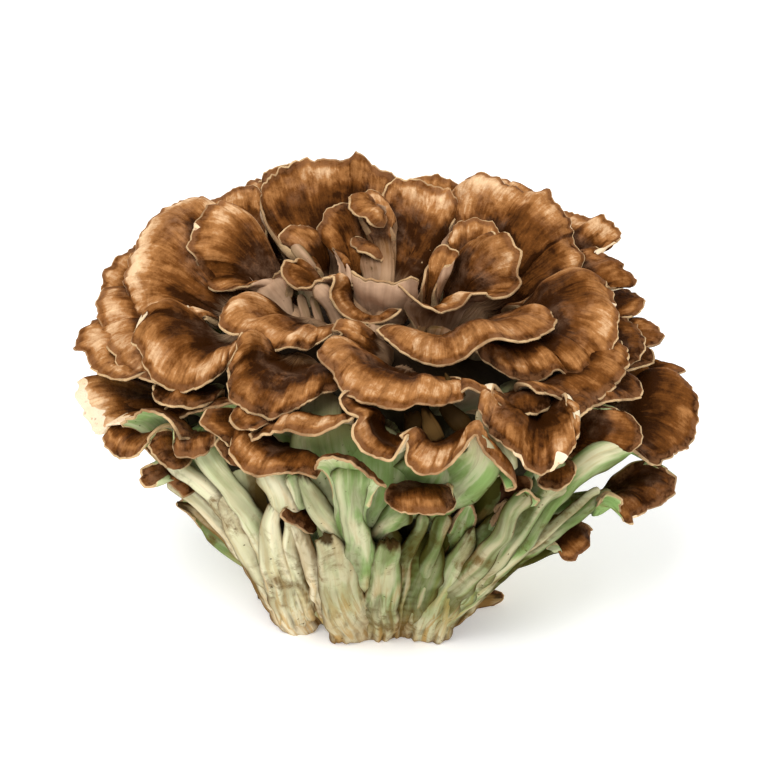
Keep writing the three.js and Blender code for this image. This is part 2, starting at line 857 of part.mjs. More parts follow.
// The middle surface of a frond and its stalk. u runs 0 to 1 up the stalk and 1 to 2 out to the lip, and
// t runs across.
class Frond {
  constructor({ lip, neck, root, hump, flare = FLARE, stalk = STALK.widths }) {
    let edge = new Edge(lip);
    const middle = new THREE.Vector3();
    for (let i = 0; i < 9; i++) middle.addScaledVector(edge.point(i / 8), 1 / 9);
    this.along = middle.clone().sub(neck).normalize();
    const across = edge.point(1).sub(edge.point(0));
    across.addScaledVector(this.along, -across.dot(this.along)).normalize();
    const face = this.along.clone().cross(across);
    const inward = V(-middle.x, -middle.y, 0).multiplyScalar(0.006);
    if (face.dot(inward.add(UP)) < 0) {
      edge = new Edge([...lip].reverse());
      across.negate();
      face.negate();
    }
    Object.assign(this, { edge, neck, root, hump, flare, stalk, across, face });
    this.stem = neck.distanceTo(root);
  }

  middle(u, t) {
    const side = t - 0.5;
    if (u < 1) {
      const pull = 0.4 * this.stem;
      const low = this.root.clone().addScaledVector(UP, pull * 0.6);
      const high = this.neck.clone().addScaledVector(this.along, -pull);
      const w = 1 - u;
      return this.root
        .clone()
        .multiplyScalar(w ** 3)
        .addScaledVector(low, 3 * w * w * u)
        .addScaledVector(high, 3 * w * u * u)
        .addScaledVector(this.neck, u ** 3)
        .addScaledVector(this.across, side * lerp(this.stalk[1], this.stalk[0], u));
    }
    const s = u - 1;
    const out = this.edge.point(t).sub(this.neck);
    const ahead = out.dot(this.along);
    const sideways = out.addScaledVector(this.along, -ahead);
    const arch = this.hump * 5.2 * s * s * (1 - s) * (1.3 - (2 * side) ** 2 * 0.6);
    return this.neck
      .clone()
      .addScaledVector(this.along, ahead * s)
      .addScaledVector(sideways, s * (1 + this.flare * (1 - s)))
      .addScaledVector(this.across, side * this.stalk[0] * (1 - s))
      .addScaledVector(this.face, arch);
  }

  // Half the thickness: round across the stalk, thin and even out at the lip.
  half(u, t) {
    const round = Math.sqrt(Math.max(0.1, 1 - (2 * t - 1) ** 2));
    if (u < 1) return (lerp(STALK.rootThick, STALK.thick, u) / 2) * round;
    const s = u - 1;
    const flat = smooth(s * 1.8);
    const thick = lerp(STALK.thick, BLADE, smooth(s * 1.5)) * (1 - 0.35 * smooth(s * 6 - 5));
    return Math.max(THINNEST / 2, (thick / 2) * lerp(round, 1, flat));
  }

  normal(u, t) {
    const du = 0.02;
    const dt = 0.03;
    const [u0, u1] = [clamp(u - du, 0, 2), clamp(u + du, 0, 2)];
    const [t0, t1] = [clamp(t - dt, 0, 1), clamp(t + dt, 0, 1)];
    const upward = this.middle(u1, t).sub(this.middle(u0, t));
    const sideways = this.middle(u, t1).sub(this.middle(u, t0));
    return upward.cross(sideways).normalize();
  }

  // One corner of the skin: above is 1 on the upper face and -1 on the underside.
  skin(u, t, above) {
    return this.middle(u, t).addScaledVector(this.normal(u, t), above * this.half(u, t));
  }
}

// A closed thin solid over rows of a frond. Each row has its own number of corners, and the triangles
// between two rows are split alike on both faces.
function frondGeometry(frond, rows) {
  const corners = [];
  const faces = [];
  const place = (point) => corners.push(point.x, point.y, point.z) / 3 - 1;
  const upper = rows.map(({ u, steps }) =>
    Array.from({ length: steps + 1 }, (_, i) => place(frond.skin(u, i / steps, 1))),
  );
  const lower = rows.map(({ u, steps }) =>
    Array.from({ length: steps + 1 }, (_, i) => place(frond.skin(u, i / steps, -1))),
  );
  const both = (r, a, b, c) => {
    faces.push(a(upper, r), b(upper, r), c(upper, r));
    faces.push(a(lower, r), c(lower, r), b(lower, r));
  };
  for (let r = 0; r < rows.length - 1; r++) {
    const near = rows[r].steps;
    const far = rows[r + 1].steps;
    let i = 0;
    let j = 0;
    while (i < near || j < far) {
      const [p, q] = [i, j];
      if (j < far && (i === near || (j + 1) / far <= (i + 1) / near + 1e-9)) {
        both(r, (m, k) => m[k][p], (m, k) => m[k + 1][q], (m, k) => m[k + 1][q + 1]);
        j++;
      } else {
        both(r, (m, k) => m[k][p], (m, k) => m[k + 1][q], (m, k) => m[k][p + 1]);
        i++;
      }
    }
    const [a, b] = [rows[r].steps, rows[r + 1].steps];
    faces.push(upper[r][0], lower[r][0], lower[r + 1][0], upper[r][0], lower[r + 1][0], upper[r + 1][0]);
    faces.push(upper[r][a], lower[r + 1][b], lower[r][a], upper[r][a], upper[r + 1][b], lower[r + 1][b]);
  }
  const last = rows.length - 1;
  for (let i = 0; i < rows[last].steps; i++) {
    const [a, b] = [upper[last][i], upper[last][i + 1]];
    const [c, d] = [lower[last][i], lower[last][i + 1]];
    faces.push(a, c, d, a, d, b);
  }
  for (let i = 0; i < rows[0].steps; i++) {
    const [a, b] = [upper[0][i], upper[0][i + 1]];
    const [c, d] = [lower[0][i], lower[0][i + 1]];
    faces.push(a, d, c, a, b, d);
  }
  const geometry = new THREE.BufferGeometry();
  geometry.setAttribute("position", new THREE.Float32BufferAttribute(corners, 3));
  geometry.setIndex(faces);
  return geometry;
}

// Rows of corners from the end of the stalk to the lip: long lips get more of both.
function rowsOf(frond) {
  const steps = clamp(Math.round(frond.edge.length / LIP_STEP), 3, 11);
  const large = frond.edge.length > LARGE_LIP;
  const rows = [{ u: 0, steps: 1 }];
  if (frond.stem > LONG_STALK) rows.push({ u: 0.5, steps: 1 });
  rows.push({ u: 1, steps: frond.edge.length > WIDE_LIP ? 2 : 1 });
  if (large) rows.push({ u: 1.42, steps: Math.round(steps * 0.5) });
  rows.push({ u: large ? 1.74 : 1.64, steps: Math.max(2, Math.round(steps * 0.7)) }, { u: 2, steps });
  return rows;
}

// ---------------------------------------------------------------- the shape of a front stalk

// A closed solid with an oval ring of corners about each mark, its broad side to the front.
function stalkGeometry({ line, depth }) {
  const flat = new Edge(line.map(([across, down]) => V(across, down, 0)));
  const middles = line.map((mark, i) => sighted(mark, through(depth, flat.at[i] / flat.length)));
  const last = line.length - 1;
  const corners = [];
  middles.forEach((middle, i) => {
    const way = middles[Math.min(i + 1, last)].clone().sub(middles[Math.max(i - 1, 0)]).normalize();
    const across = way.clone().cross(forward).normalize();
    const outward = across.clone().cross(way);
    const ring = middle.clone().addScaledVector(way, i === last ? STALK_RUN : 0);
    const half = (line[i][2] * DRAWING.mmPerMark) / 2;
    for (let k = 0; k < STALK_SIDES; k++) {
      const angle = ((k + 0.5) / STALK_SIDES) * 2 * Math.PI;
      const corner = ring
        .clone()
        .addScaledVector(across, half * Math.cos(angle))
        .addScaledVector(outward, half * STALK_FLAT * Math.sin(angle));
      corners.push(corner.x, corner.y, corner.z);
    }
  });
  const faces = [];
  for (let i = 0; i < last; i++)
    for (let k = 0; k < STALK_SIDES; k++) {
      const a = i * STALK_SIDES + k;
      const b = i * STALK_SIDES + ((k + 1) % STALK_SIDES);
      faces.push(a, b + STALK_SIDES, b, a, a + STALK_SIDES, b + STALK_SIDES);
    }
  const foot = last * STALK_SIDES;
  for (let k = 1; k < STALK_SIDES - 1; k++) faces.push(0, k, k + 1, foot, foot + k + 1, foot + k);
  const geometry = new THREE.BufferGeometry();
  geometry.setAttribute("position", new THREE.Float32BufferAttribute(corners, 3));
  geometry.setIndex(faces);
  return geometry;
}

// ---------------------------------------------------------------- the foot and the heart of the cluster

function heartGeometry() {
  const corners = [];
  const faces = [];
  const draw = seeded(RIBS.count);
  const shift = Array.from({ length: HEART_SIDES }, () => (draw() - 0.5) * RIBS.uneven);
  HEART.forEach(([z, halfX, halfY]) => {
    for (let i = 0; i < HEART_SIDES; i++) {
      const angle = ((i + shift[i]) / HEART_SIDES) * 2 * Math.PI;
      const rib = z > RIBS.upTo ? 1 : 1 + (i % 2 ? -RIBS.deep : RIBS.deep);
      corners.push(halfX * rib * Math.cos(angle), halfY * rib * Math.sin(angle), z);
    }
  });
  for (let r = 0; r < HEART.length - 1; r++)
    for (let i = 0; i < HEART_SIDES; i++) {
      const a = r * HEART_SIDES + i;
      const b = r * HEART_SIDES + ((i + 1) % HEART_SIDES);
      faces.push(a, b, b + HEART_SIDES, a, b + HEART_SIDES, a + HEART_SIDES);
    }
  const bottom = corners.push(0, 0, HEART[0][0]) / 3 - 1;
  const top = corners.push(0, 0, HEART[HEART.length - 1][0] + 4) / 3 - 1;
  const crown = (HEART.length - 1) * HEART_SIDES;
  for (let i = 0; i < HEART_SIDES; i++) {
    const next = (i + 1) % HEART_SIDES;
    faces.push(bottom, next, i, top, crown + i, crown + next);
  }
  const geometry = new THREE.BufferGeometry();
  geometry.setAttribute("position", new THREE.Float32BufferAttribute(corners, 3));
  geometry.setIndex(faces);
  return geometry;
}

// ---------------------------------------------------------------- joining

function solidOf(geometry) {
  const bare = geometry.clone();
  bare.deleteAttribute("normal");
  bare.deleteAttribute("uv");
  const merged = mergeVertices(bare, 1e-4);
  return new wasm.Manifold(
    new wasm.Mesh({
      numProp: 3,
      vertProperties: merged.attributes.position.array,
      triVerts: new Uint32Array(merged.index.array),
    }),
  );
}

function geometryOf(solid) {
  const mesh = solid.getMesh();
  const geometry = new THREE.BufferGeometry();
  geometry.setAttribute("position", new THREE.BufferAttribute(mesh.vertProperties, 3));
  geometry.setIndex(new THREE.BufferAttribute(mesh.triVerts, 1));
  geometry.computeVertexNormals();
  return geometry;
}

// A frond of the front drawing, carried out to its place.
function frontFrond({ lip, depth, neck, reach, fall, hump, flare, root, stalk }) {
  const flat = new Edge(lip.map(([across, down]) => V(across, down, 0)));
  const points = lip.map((mark, i) => sighted(mark, through(depth, flat.at[i] / flat.length)));
  const edge = new Edge(points);
  const middle = new THREE.Vector3();
  for (let i = 0; i < 9; i++) middle.addScaledVector(edge.point(i / 8), 1 / 9);
  const far = Math.hypot(middle.x, middle.y);
  const inward = V(-middle.x, -middle.y, 0).multiplyScalar(Math.min((reach ?? 0) / far, 0.8));
  const base = neck
    ? sighted(neck, neck[2])
    : middle.clone().add(inward).addScaledVector(UP, -fall);
  const end = root ? sighted(root, root[2]) : rootBelow(base);
  return { lip: points, neck: base, root: end, hump, flare, stalk };
}

const draw = seeded(BACK_SEED);
const plans = FRONT_FRONDS.map(frontFrond);
for (const tier of BACK_TIERS)
  for (let i = 0; i < tier.count; i++) plans.push(backFrond(tier, i, draw));

let cluster = solidOf(heartGeometry());
for (const plan of FRONT_STALKS) cluster = cluster.add(solidOf(stalkGeometry(plan)));
for (const plan of plans) {
  const frond = new Frond(plan);
  cluster = cluster.add(solidOf(frondGeometry(frond, rowsOf(frond))));
}

// The knife cut across the foot: nothing reaches below Z = 0.
const below = new THREE.BoxGeometry(400, 400, 60).translate(0, 0, -30);
cluster = cluster.subtract(solidOf(below));

// Tiny gaps that joining sealed inside are filled, by keeping the outer skin alone.
cluster = cluster.decompose().reduce((largest, body) => (body.volume() > largest.volume() ? body : largest));

const group = new THREE.Group();
const maitake = new THREE.Mesh(geometryOf(cluster), new THREE.MeshStandardMaterial(SKIN));
maitake.name = "maitake";
group.add(maitake);

export default group;
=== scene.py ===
"""A cluster of maitake, also called hen of the woods: one fungus that grew as a single piece.

A cut foot carries fused stalks, the stalks spread into thin waved fronds, and the fronds overlap in a
rosette. Lengths are in millimetres, and turn to metres where a mesh is stored.
"""

import logging
import math
from dataclasses import dataclass, field
from enum import Enum

import bpy
import numpy as np
from mathutils import Matrix


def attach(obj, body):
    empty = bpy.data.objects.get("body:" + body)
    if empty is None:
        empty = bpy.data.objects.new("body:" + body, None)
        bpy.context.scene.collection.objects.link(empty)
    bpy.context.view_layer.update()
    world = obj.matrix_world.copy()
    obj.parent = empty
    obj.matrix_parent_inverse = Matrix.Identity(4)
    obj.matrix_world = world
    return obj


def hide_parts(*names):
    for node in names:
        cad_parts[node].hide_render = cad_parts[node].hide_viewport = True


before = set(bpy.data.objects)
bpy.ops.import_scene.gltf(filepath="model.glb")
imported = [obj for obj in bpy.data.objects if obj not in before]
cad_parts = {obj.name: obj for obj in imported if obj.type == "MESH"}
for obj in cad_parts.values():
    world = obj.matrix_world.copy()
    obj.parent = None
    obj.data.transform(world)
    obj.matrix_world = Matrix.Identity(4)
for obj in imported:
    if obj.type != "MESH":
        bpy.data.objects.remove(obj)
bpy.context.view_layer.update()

LOG = logging.getLogger("maitake")
NODE = "maitake"
BODY = "root"
CAP_SLOT = "cap_skin"
FLESH_SLOT = "flesh"
METRE = 0.001
WHITE = (1.0, 1.0, 1.0, 1.0)
UP = np.array((0.0, 0.0, 1.0))
Point = tuple[float, ...]


# ------------------------------------------------------------------------------------------ small maths


def smooth(low: float, high: float, x: np.ndarray) -> np.ndarray:
    """Return 0 below low, 1 above high and a smooth step 3x^2 - 2x^3 between them."""
    c = np.clip((x - low) / (high - low), 0.0, 1.0)
    return c * c * (3.0 - 2.0 * c)


def unit(v: np.ndarray) -> np.ndarray:
    """Return the vectors of the last axis at length one."""
    return v / np.maximum(np.linalg.norm(v, axis=-1, keepdims=True), 1e-9)


def through(values: Point, t: np.ndarray) -> np.ndarray:
    """Return the parabola through first, middle and last value, at shares t of the way."""
    first, middle, last = values
    return first * (1 - t) * (1 - 2 * t) + middle * 4 * t * (1 - t) + last * t * (2 * t - 1)


class Draws:
    """A repeatable random number source: state = state * 1664525 + 1013904223, modulo 2^32."""

    def __init__(self, seed: int) -> None:
        """Start from a whole number."""
        self.state = seed

    def next(self) -> float:
        """Return the next draw, from 0 up to 1."""
        self.state = (self.state * 1664525 + 1013904223) % 2**32
        return self.state / 2**32


class Ripples:
    """Seeded sums of sine waves, used for wavy edges and uneven skins."""

    def __init__(self, seed: int) -> None:
        """Start the draws of phases and periods from a whole number."""
        self.rng = np.random.default_rng(seed)

    def line(self, x: np.ndarray, period: float, waves: int = 5) -> np.ndarray:
        """Return a sum of sines of x with periods of 0.6 to 1.6 times the one given, about -1 to 1."""
        periods = period * self.rng.uniform(0.6, 1.6, waves)
        phases = self.rng.uniform(0.0, 2 * np.pi, waves)
        return np.sin(2 * np.pi * x[..., None] / periods + phases).sum(-1) / math.sqrt(waves)

    def sheet(self, x: np.ndarray, y: np.ndarray, period: float, waves: int = 9) -> np.ndarray:
        """Return a sum of plane sine waves in random directions over x and y, about -1 to 1."""
        turn = self.rng.uniform(0.0, np.pi, waves)
        phases = self.rng.uniform(0.0, 2 * np.pi, waves)
        periods = period * self.rng.uniform(0.6, 1.6, waves)
        way = x[..., None] * np.cos(turn) + y[..., None] * np.sin(turn)
        return np.sin(2 * np.pi * way / periods + phases).sum(-1) / math.sqrt(waves)


@dataclass(frozen=True)
class Drawing:
    """The front drawing that the outlines are marked on, and where it is seen from."""

    centre: float = 384.0
    mm_per_mark: float = 0.4
    distance: float = 900.0
    elevation: float = math.radians(26.0)
    aim: Point = (3.0, 0.0, 96.0)
    marks_across: float = 768.0

    @property
    def forward(self) -> np.ndarray:
        """The way the viewer looks."""
        return np.array((0.0, math.cos(self.elevation), -math.sin(self.elevation)))

    @property
    def rise(self) -> np.ndarray:
        """The direction that runs up the drawing."""
        return np.array((0.0, math.sin(self.elevation), math.cos(self.elevation)))

    @property
    def eye(self) -> np.ndarray:
        """Where the viewer stands."""
        return np.array(self.aim) - self.forward * self.distance

    def sighted(self, marks: np.ndarray, depth: np.ndarray) -> np.ndarray:
        """Carry marks of the drawing out along their lines of sight to a depth Y.

        Args:
            marks: across and down, in marks, one row each.
            depth: the Y that each one reaches, in millimetres.

        Returns:
            One point a row: eye + way * (depth - eye_y) / way_y.
        """
        per_mark = self.mm_per_mark / self.distance
        way = np.tile(self.forward, (len(marks), 1))
        way[:, 0] += (marks[:, 0] - self.centre) * per_mark
        way += self.rise * ((self.centre - marks[:, 1]) * per_mark)[:, None]
        return self.eye + way * ((depth - self.eye[1]) / way[:, 1])[:, None]

    def line(self, marks: np.ndarray, depth: Point) -> np.ndarray:
        """Carry out the marks of a line whose depth is given at its start, middle and end."""
        run = np.concatenate(((0.0,), np.cumsum(np.linalg.norm(np.diff(marks, axis=0), axis=1))))
        return self.sighted(marks, through(depth, run / run[-1]))

    def spot(self, mark: Point) -> np.ndarray:
        """Carry out one mark that is given with its depth."""
        return self.sighted(np.array((mark[:2],), dtype=float), np.array(mark[2:]))[0]


DRAWING = Drawing()


# --------------------------------------------------------------------------------------- driving sizes


@dataclass(frozen=True)
class Frond:
    """One frond, as the front drawing gives it; marks are across and down, and the rest in millimetres.

    lip holds marks along the free edge, and depth the lip's Y at its start, middle and end. neck is the
    mark and depth where the frond leaves its stalk; without it, reach and fall say how far inwards and
    down from the lip's middle it lies. hump is how far the upper face arches. root is the mark and depth
    where the stalk ends, if it isn't in the heart. stalk holds its widths at the neck and the root.
    ruffle is the height of the waves in the lip, and tears are places where its edge is broken: a share
    of the way along the lip, a depth, a width, and how far white flesh shows in from the edge. flare is
    how early the frond widens: below zero it stays a narrow funnel until close to the lip. tone is how
    much lighter, or below zero darker, its skin is painted than that of the others; below -0.1 it also
    deepens the painted shade of its flesh.
    """

    name: str
    lip: tuple[Point, ...] = ()
    depth: Point = ()
    neck: Point | None = None
    reach: float = 0.0
    fall: float = 0.0
    hump: float = 0.0
    root: Point | None = None
    stalk: Point = (10.0, 13.0)
    ruffle: float = 1.6
    tears: tuple[Point, ...] = ()
    flare: float = 0.6
    tone: float = 0.0


@dataclass(frozen=True)
class Stalk:
    """One stalk of the front drawing.

    marks run from its top to its foot, each the mark across and down and the width there, in marks.
    depth is its Y at the top, in the middle and at the foot. thick is its thickness as a share of its
    width, green is how green its flesh is, shade how much painted shade darkens it, and brown how far a
    torn brown top reaches down it.
    """

    name: str
    marks: tuple[Point, ...]
    depth: Point
    thick: float = 0.7
    green: float = 0.7
    shade: float = 0.1
    brown: float = 0.0


@dataclass(frozen=True)
class BackTier:
    """One tier of fronds round the back.

    lip is the height of the lips and out how far they stand, as a share of the head's half width. The
    fronds stand evenly from the first to the last angle, in degrees from the back. length, wide and rise
    are a frond's length, half width and slope. low says that the stalks run down to the foot.
    """

    lip: float
    out: float
    count: int
    first: float
    last: float
    length: float
    wide: float
    rise: float
    low: bool


HEAD_HALF = (122.0, 104.0)
FOOT_HALF = (38.0, 32.0)
BACK_SEED = 4107
BACK_TIERS: tuple[BackTier, ...] = (
    BackTier(149, 0.82, 3, -27, 29, 34, 28, 50, False),
    BackTier(131, 0.92, 4, -48, 40, 37, 32, 32, False),
    BackTier(111, 0.98, 5, -58, 48, 40, 31, 20, False),
    BackTier(91, 0.92, 7, -82, 76, 38, 28, 12, False),
    BackTier(71, 0.77, 7, -98, 92, 30, 23, 8, True),
    BackTier(51, 0.61, 5, -98, 94, 22, 18, 14, True),
)

# The solid middle that every stalk runs into: height, half width along X, half depth along Y.
HEART = np.array((
    (-6, 40, 33),
    (10, 42, 35),
    (46, 63, 54),
    (66, 79, 66),
    (86, 90, 74),
    (104, 84, 68),
    (116, 56, 47),
    (122, 24, 22),
), dtype=float)

CROWN_FRONDS: tuple[Frond, ...] = (
    Frond("left_shell", ((204, 200), (184, 201), (158, 214), (142, 234), (127, 268), (125, 284),
        (130, 302), (138, 316), (158, 318), (180, 320), (198, 326)), (56, 24, -8), neck=(238, 318, 2),
        hump=12, tone=0.12),
    Frond("back_left", ((196, 212), (204, 201), (219, 199), (228, 192), (240, 187), (250, 185),
        (258, 187), (266, 200)), (56, 66, 56), neck=(250, 285, 30), hump=4),
    Frond("left_inner", ((245, 222), (235, 207), (218, 202), (207, 208), (195, 221), (188, 248),
        (197, 262), (197, 276), (211, 291), (228, 291), (252, 285), (262, 282), (280, 272)), (42, 12, 0),
        neck=(290, 312, 4), hump=7, flare=0.0, tears=((0.38, 1.8, 1.5, 2.6), (0.06, 0.5, 5.0, 2.2))),
    Frond("back_centre", ((263, 214), (260, 195), (268, 178), (285, 166), (300, 159), (320, 159),
        (350, 158), (358, 151), (372, 164), (395, 175), (403, 182)), (42, 64, 54), neck=(335, 275, 24),
        hump=-3, tone=-0.03),
    Frond("back_behind", ((256, 190), (260, 178), (270, 170), (285, 164), (300, 168)), (64, 72, 68),
        reach=30, fall=36, hump=3),
    Frond("back_bump", ((404, 186), (412, 178), (425, 176), (438, 175), (452, 181), (464, 190)),
        (62, 69, 64), reach=28, fall=36, hump=3),
    Frond("centre_back", ((388, 232), (388, 210), (383, 198), (388, 183), (405, 178), (425, 182),
        (452, 192), (459, 206), (450, 226), (434, 243), (420, 264)), (30, 50, 16), neck=(396, 296, 4),
        hump=-3, tone=0.04),
    Frond("back_right", ((455, 197), (462, 184), (480, 173), (496, 178), (515, 188), (535, 194),
        (548, 189), (555, 202), (575, 228), (572, 238), (584, 258), (578, 273), (570, 290), (550, 300),
        (522, 312)), (60, 50, 2), neck=(478, 312, 12), hump=8, tears=((0.5, 2.4, 1.6, 1.2),
        (0.2, 0.8, 1.0, 0.8))),
    Frond("far_right_back", ((556, 206), (570, 212), (592, 218), (606, 217), (622, 236), (606, 247),
        (590, 258)), (60, 60, 44), reach=34, fall=22, hump=5),
    Frond("right_back_oval", ((446, 250), (450, 235), (458, 223), (470, 219), (484, 219), (496, 226),
        (504, 240)), (20, 34, 24), neck=(462, 292, 14), hump=3),
    Frond("right_ruffle", ((466, 262), (472, 244), (485, 235), (503, 233), (515, 242), (522, 260),
        (518, 270), (522, 283), (512, 295), (498, 299), (482, 294), (473, 294), (464, 305), (448, 312),
        (430, 309), (412, 297), (398, 284)), (22, -14, -14), neck=(432, 348, 0), hump=7, flare=-0.2,
        stalk=(14, 14)),
)

CENTRE_FRONDS: tuple[Frond, ...] = (
    Frond("centre_tongue", ((384, 229), (374, 227), (365, 220), (355, 215), (347, 206), (348, 199),
        (356, 196), (364, 199)), (12, 12, 20), neck=(378, 212, 23), hump=3, flare=-0.1, stalk=(7, 9)),
    Frond("centre_tongue_back", ((350, 200), (358, 193), (370, 191), (380, 194), (387, 203), (388, 214),
        (385, 224)), (26, 34, 22), neck=(384, 250, 14), hump=3, flare=0.2, stalk=(7, 9)),
    Frond("centre_left", ((350, 203), (340, 204), (330, 207), (324, 213), (321, 222), (316, 231),
        (319, 239), (330, 247), (340, 258), (346, 270)), (30, 16, 2), neck=(358, 298, 0), hump=4,
        tone=-0.03),
    Frond("left_tongue", ((314, 268), (306, 258), (293, 247), (281, 243), (278, 236), (285, 229),
        (298, 225), (309, 229), (315, 240), (319, 254)), (4, 12, 20), neck=(322, 284, 8), hump=4, flare=0.2,
        stalk=(8, 9)),
    Frond("centre_curl", ((302, 260), (286, 261), (280, 270), (284, 280), (293, 288), (303, 289),
        (318, 282), (331, 276), (334, 282), (329, 291), (332, 303), (341, 314), (354, 322), (368, 324),
        (382, 323), (395, 316), (402, 309)), (2, -16, -20), neck=(350, 336, -4), hump=7, flare=-0.35),
    Frond("centre_tip", ((382, 263), (374, 259), (365, 254), (356, 251), (350, 245), (351, 240),
        (356, 238)), (6, 6, 12), neck=(372, 249, 16), hump=2, flare=0.2, stalk=(8, 9)),
    Frond("centre_cup", ((351, 269), (357, 275), (370, 278), (388, 281), (404, 280), (413, 276),
        (418, 281), (415, 288)), (-6, -14, -8), neck=(384, 326, 2), hump=-2, flare=0.3, stalk=(14, 12)),
    Frond("right_upright", ((421, 289), (428, 264), (436, 249), (447, 243), (452, 249), (459, 253),
        (455, 259), (444, 268), (434, 290)), (-6, 8, -6), neck=(424, 318, -4), hump=2, flare=-0.5,
        stalk=(8, 9)),
    Frond("centre_upper", ((350, 322), (338, 320), (331, 330), (340, 333), (330, 343), (324, 350)),
        (-36, -44, -52), neck=(376, 350, -36), hump=3),
)

MIDDLE_FRONDS: tuple[Frond, ...] = (
    Frond("right_front_big", ((574, 276), (590, 275), (606, 285), (617, 305), (618, 330), (612, 354),
        (599, 368), (592, 366), (583, 377), (568, 377), (558, 371), (540, 382), (520, 382), (500, 372),
        (485, 362), (475, 353)), (14, -42, -46), neck=(500, 340, -18), hump=10, flare=0.3,
        tears=((0.3, 1.6, 1.2, 3.0), (0.47, 1.2, 1.0, 2.4), (0.5, 0.8, 0.8, 1.6)), tone=-0.03),
    Frond("right_long", ((376, 331), (390, 344), (410, 358), (435, 367), (460, 362), (478, 349),
        (495, 340), (520, 343), (540, 338), (557, 324), (550, 314), (534, 312)), (-34, -60, -18),
        neck=(450, 342, -16), hump=7, flare=-0.2, stalk=(14, 14)),
    Frond("left_long", ((250, 302), (230, 305), (219, 320), (226, 334), (245, 337), (258, 348),
        (272, 353), (288, 348), (305, 351), (323, 341), (334, 334)), (-8, -44, -38), neck=(304, 326, -12),
        hump=6),
    Frond("left_lower_big", ((172, 319), (152, 318), (139, 327), (131, 343), (139, 350), (146, 370),
        (160, 386), (180, 393), (200, 388), (218, 377), (230, 363), (238, 350)), (-6, -44, -50),
        neck=(230, 342, -18), hump=10, tone=0.02),
    Frond("left_bowl", ((254, 344), (238, 344), (236, 354), (227, 376), (230, 400), (246, 411),
        (268, 420), (288, 414), (303, 406), (322, 395), (340, 388), (326, 376)), (-48, -80, -62),
        neck=(294, 364, -42), hump=7, tone=-0.09),
    Frond("front_centre", ((332, 348), (318, 352), (320, 362), (331, 372), (340, 390), (358, 402),
        (378, 407), (400, 411), (418, 405), (436, 407), (450, 404), (462, 400), (458, 390)), (-54, -88, -72),
        neck=(404, 376, -46), hump=8),
)

FRONT_FRONDS: tuple[Frond, ...] = (
    Frond("front_wedge", ((250, 434), (251, 441), (266, 435), (290, 432), (310, 437), (332, 429),
        (348, 421), (357, 416)), (-80, -96, -92), neck=(334, 478, -66), hump=12, flare=-0.3,
        root=(330, 600, -40), stalk=(18, 18)),
    Frond("left_front_oval", ((252, 431), (236, 436), (229, 450), (238, 467), (254, 477), (276, 475),
        (298, 474), (316, 479)), (-74, -92, -96), neck=(288, 444, -62), hump=7, root=(310, 590, -40),
        stalk=(12, 16), tone=-0.04),
    Frond("front_t_cap", ((314, 470), (318, 461), (333, 458), (352, 464), (368, 476), (386, 488)),
        (-98, -106, -100), neck=(350, 512, -82), hump=6, flare=-0.5, root=(352, 600, -42), stalk=(12, 16)),
    Frond("front_ribbon_a", ((346, 392), (339, 400), (346, 413), (358, 419), (352, 428), (356, 445),
        (372, 457), (390, 461), (400, 448), (406, 436)), (-82, -104, -96), neck=(386, 430, -66), hump=4),
    Frond("front_ribbon_b", ((400, 436), (406, 445), (406, 464), (420, 475), (440, 473), (458, 457),
        (470, 440), (476, 436), (482, 450), (500, 469), (516, 487), (506, 492)), (-96, -102, -96),
        neck=(442, 452, -68), hump=8, flare=-0.2, root=(420, 590, -38), stalk=(18, 20)),
    Frond("low_centre_cap", ((386, 500), (389, 506), (396, 511), (408, 514), (430, 515), (447, 514),
        (455, 507), (455, 501), (450, 497)), (-90, -94, -86), neck=(412, 486, -78), hump=6,
        root=(378, 590, -38), stalk=(11, 14), tone=-0.05),
    Frond("gap_cap", ((436, 492), (446, 488), (458, 488), (467, 492), (470, 499), (462, 503),
        (449, 503)), (-66, -72, -68), neck=(440, 506, -58), hump=4, flare=0.2, root=(424, 590, -36),
        stalk=(8, 10), tone=-0.08),
    Frond("gap_leaf", ((506, 484), (516, 478), (526, 476), (533, 484), (529, 492), (516, 498),
        (506, 500)), (-66, -74, -72), neck=(500, 512, -60), hump=4, flare=0.2, root=(440, 600, -34),
        stalk=(8, 10), tone=-0.24),
    Frond("right_front_fan", ((490, 401), (479, 406), (482, 419), (492, 437), (515, 455), (530, 472),
        (544, 475), (562, 463), (574, 448), (578, 430), (574, 414), (566, 405)), (-74, -96, -70),
        neck=(530, 408, -50), hump=8, tears=((0.635, 0.2, 2.4, 6.0), (0.6, 0.3, 1.2, 1.2),
        (0.4, 0.4, 2.5, 1.6)), tone=-0.02),
    Frond("right_inner_brown", ((502, 412), (512, 418), (528, 416), (543, 413), (551, 406)),
        (-62, -66, -62), neck=(522, 392, -44), hump=4, tone=-0.08),
    Frond("right_inner_low", ((460, 394), (468, 389), (484, 396), (500, 408), (503, 418), (490, 421)),
        (-74, -76, -72), reach=28, fall=12, hump=5, tone=-0.08),
    Frond("middle_left_a", ((216, 408), (203, 413), (199, 424), (214, 434), (228, 446)), (-72, -78, -78),
        reach=24, fall=14, hump=6, tone=-0.07),
    Frond("middle_left_b", ((240, 407), (231, 414), (230, 424), (240, 430), (256, 430)), (-76, -82, -84),
        reach=24, fall=8, hump=6, tone=-0.05),
    Frond("middle_left_c", ((222, 436), (214, 444), (220, 454), (228, 463), (238, 466)), (-66, -70, -68),
        reach=22, fall=14, hump=5, tone=-0.08),
)

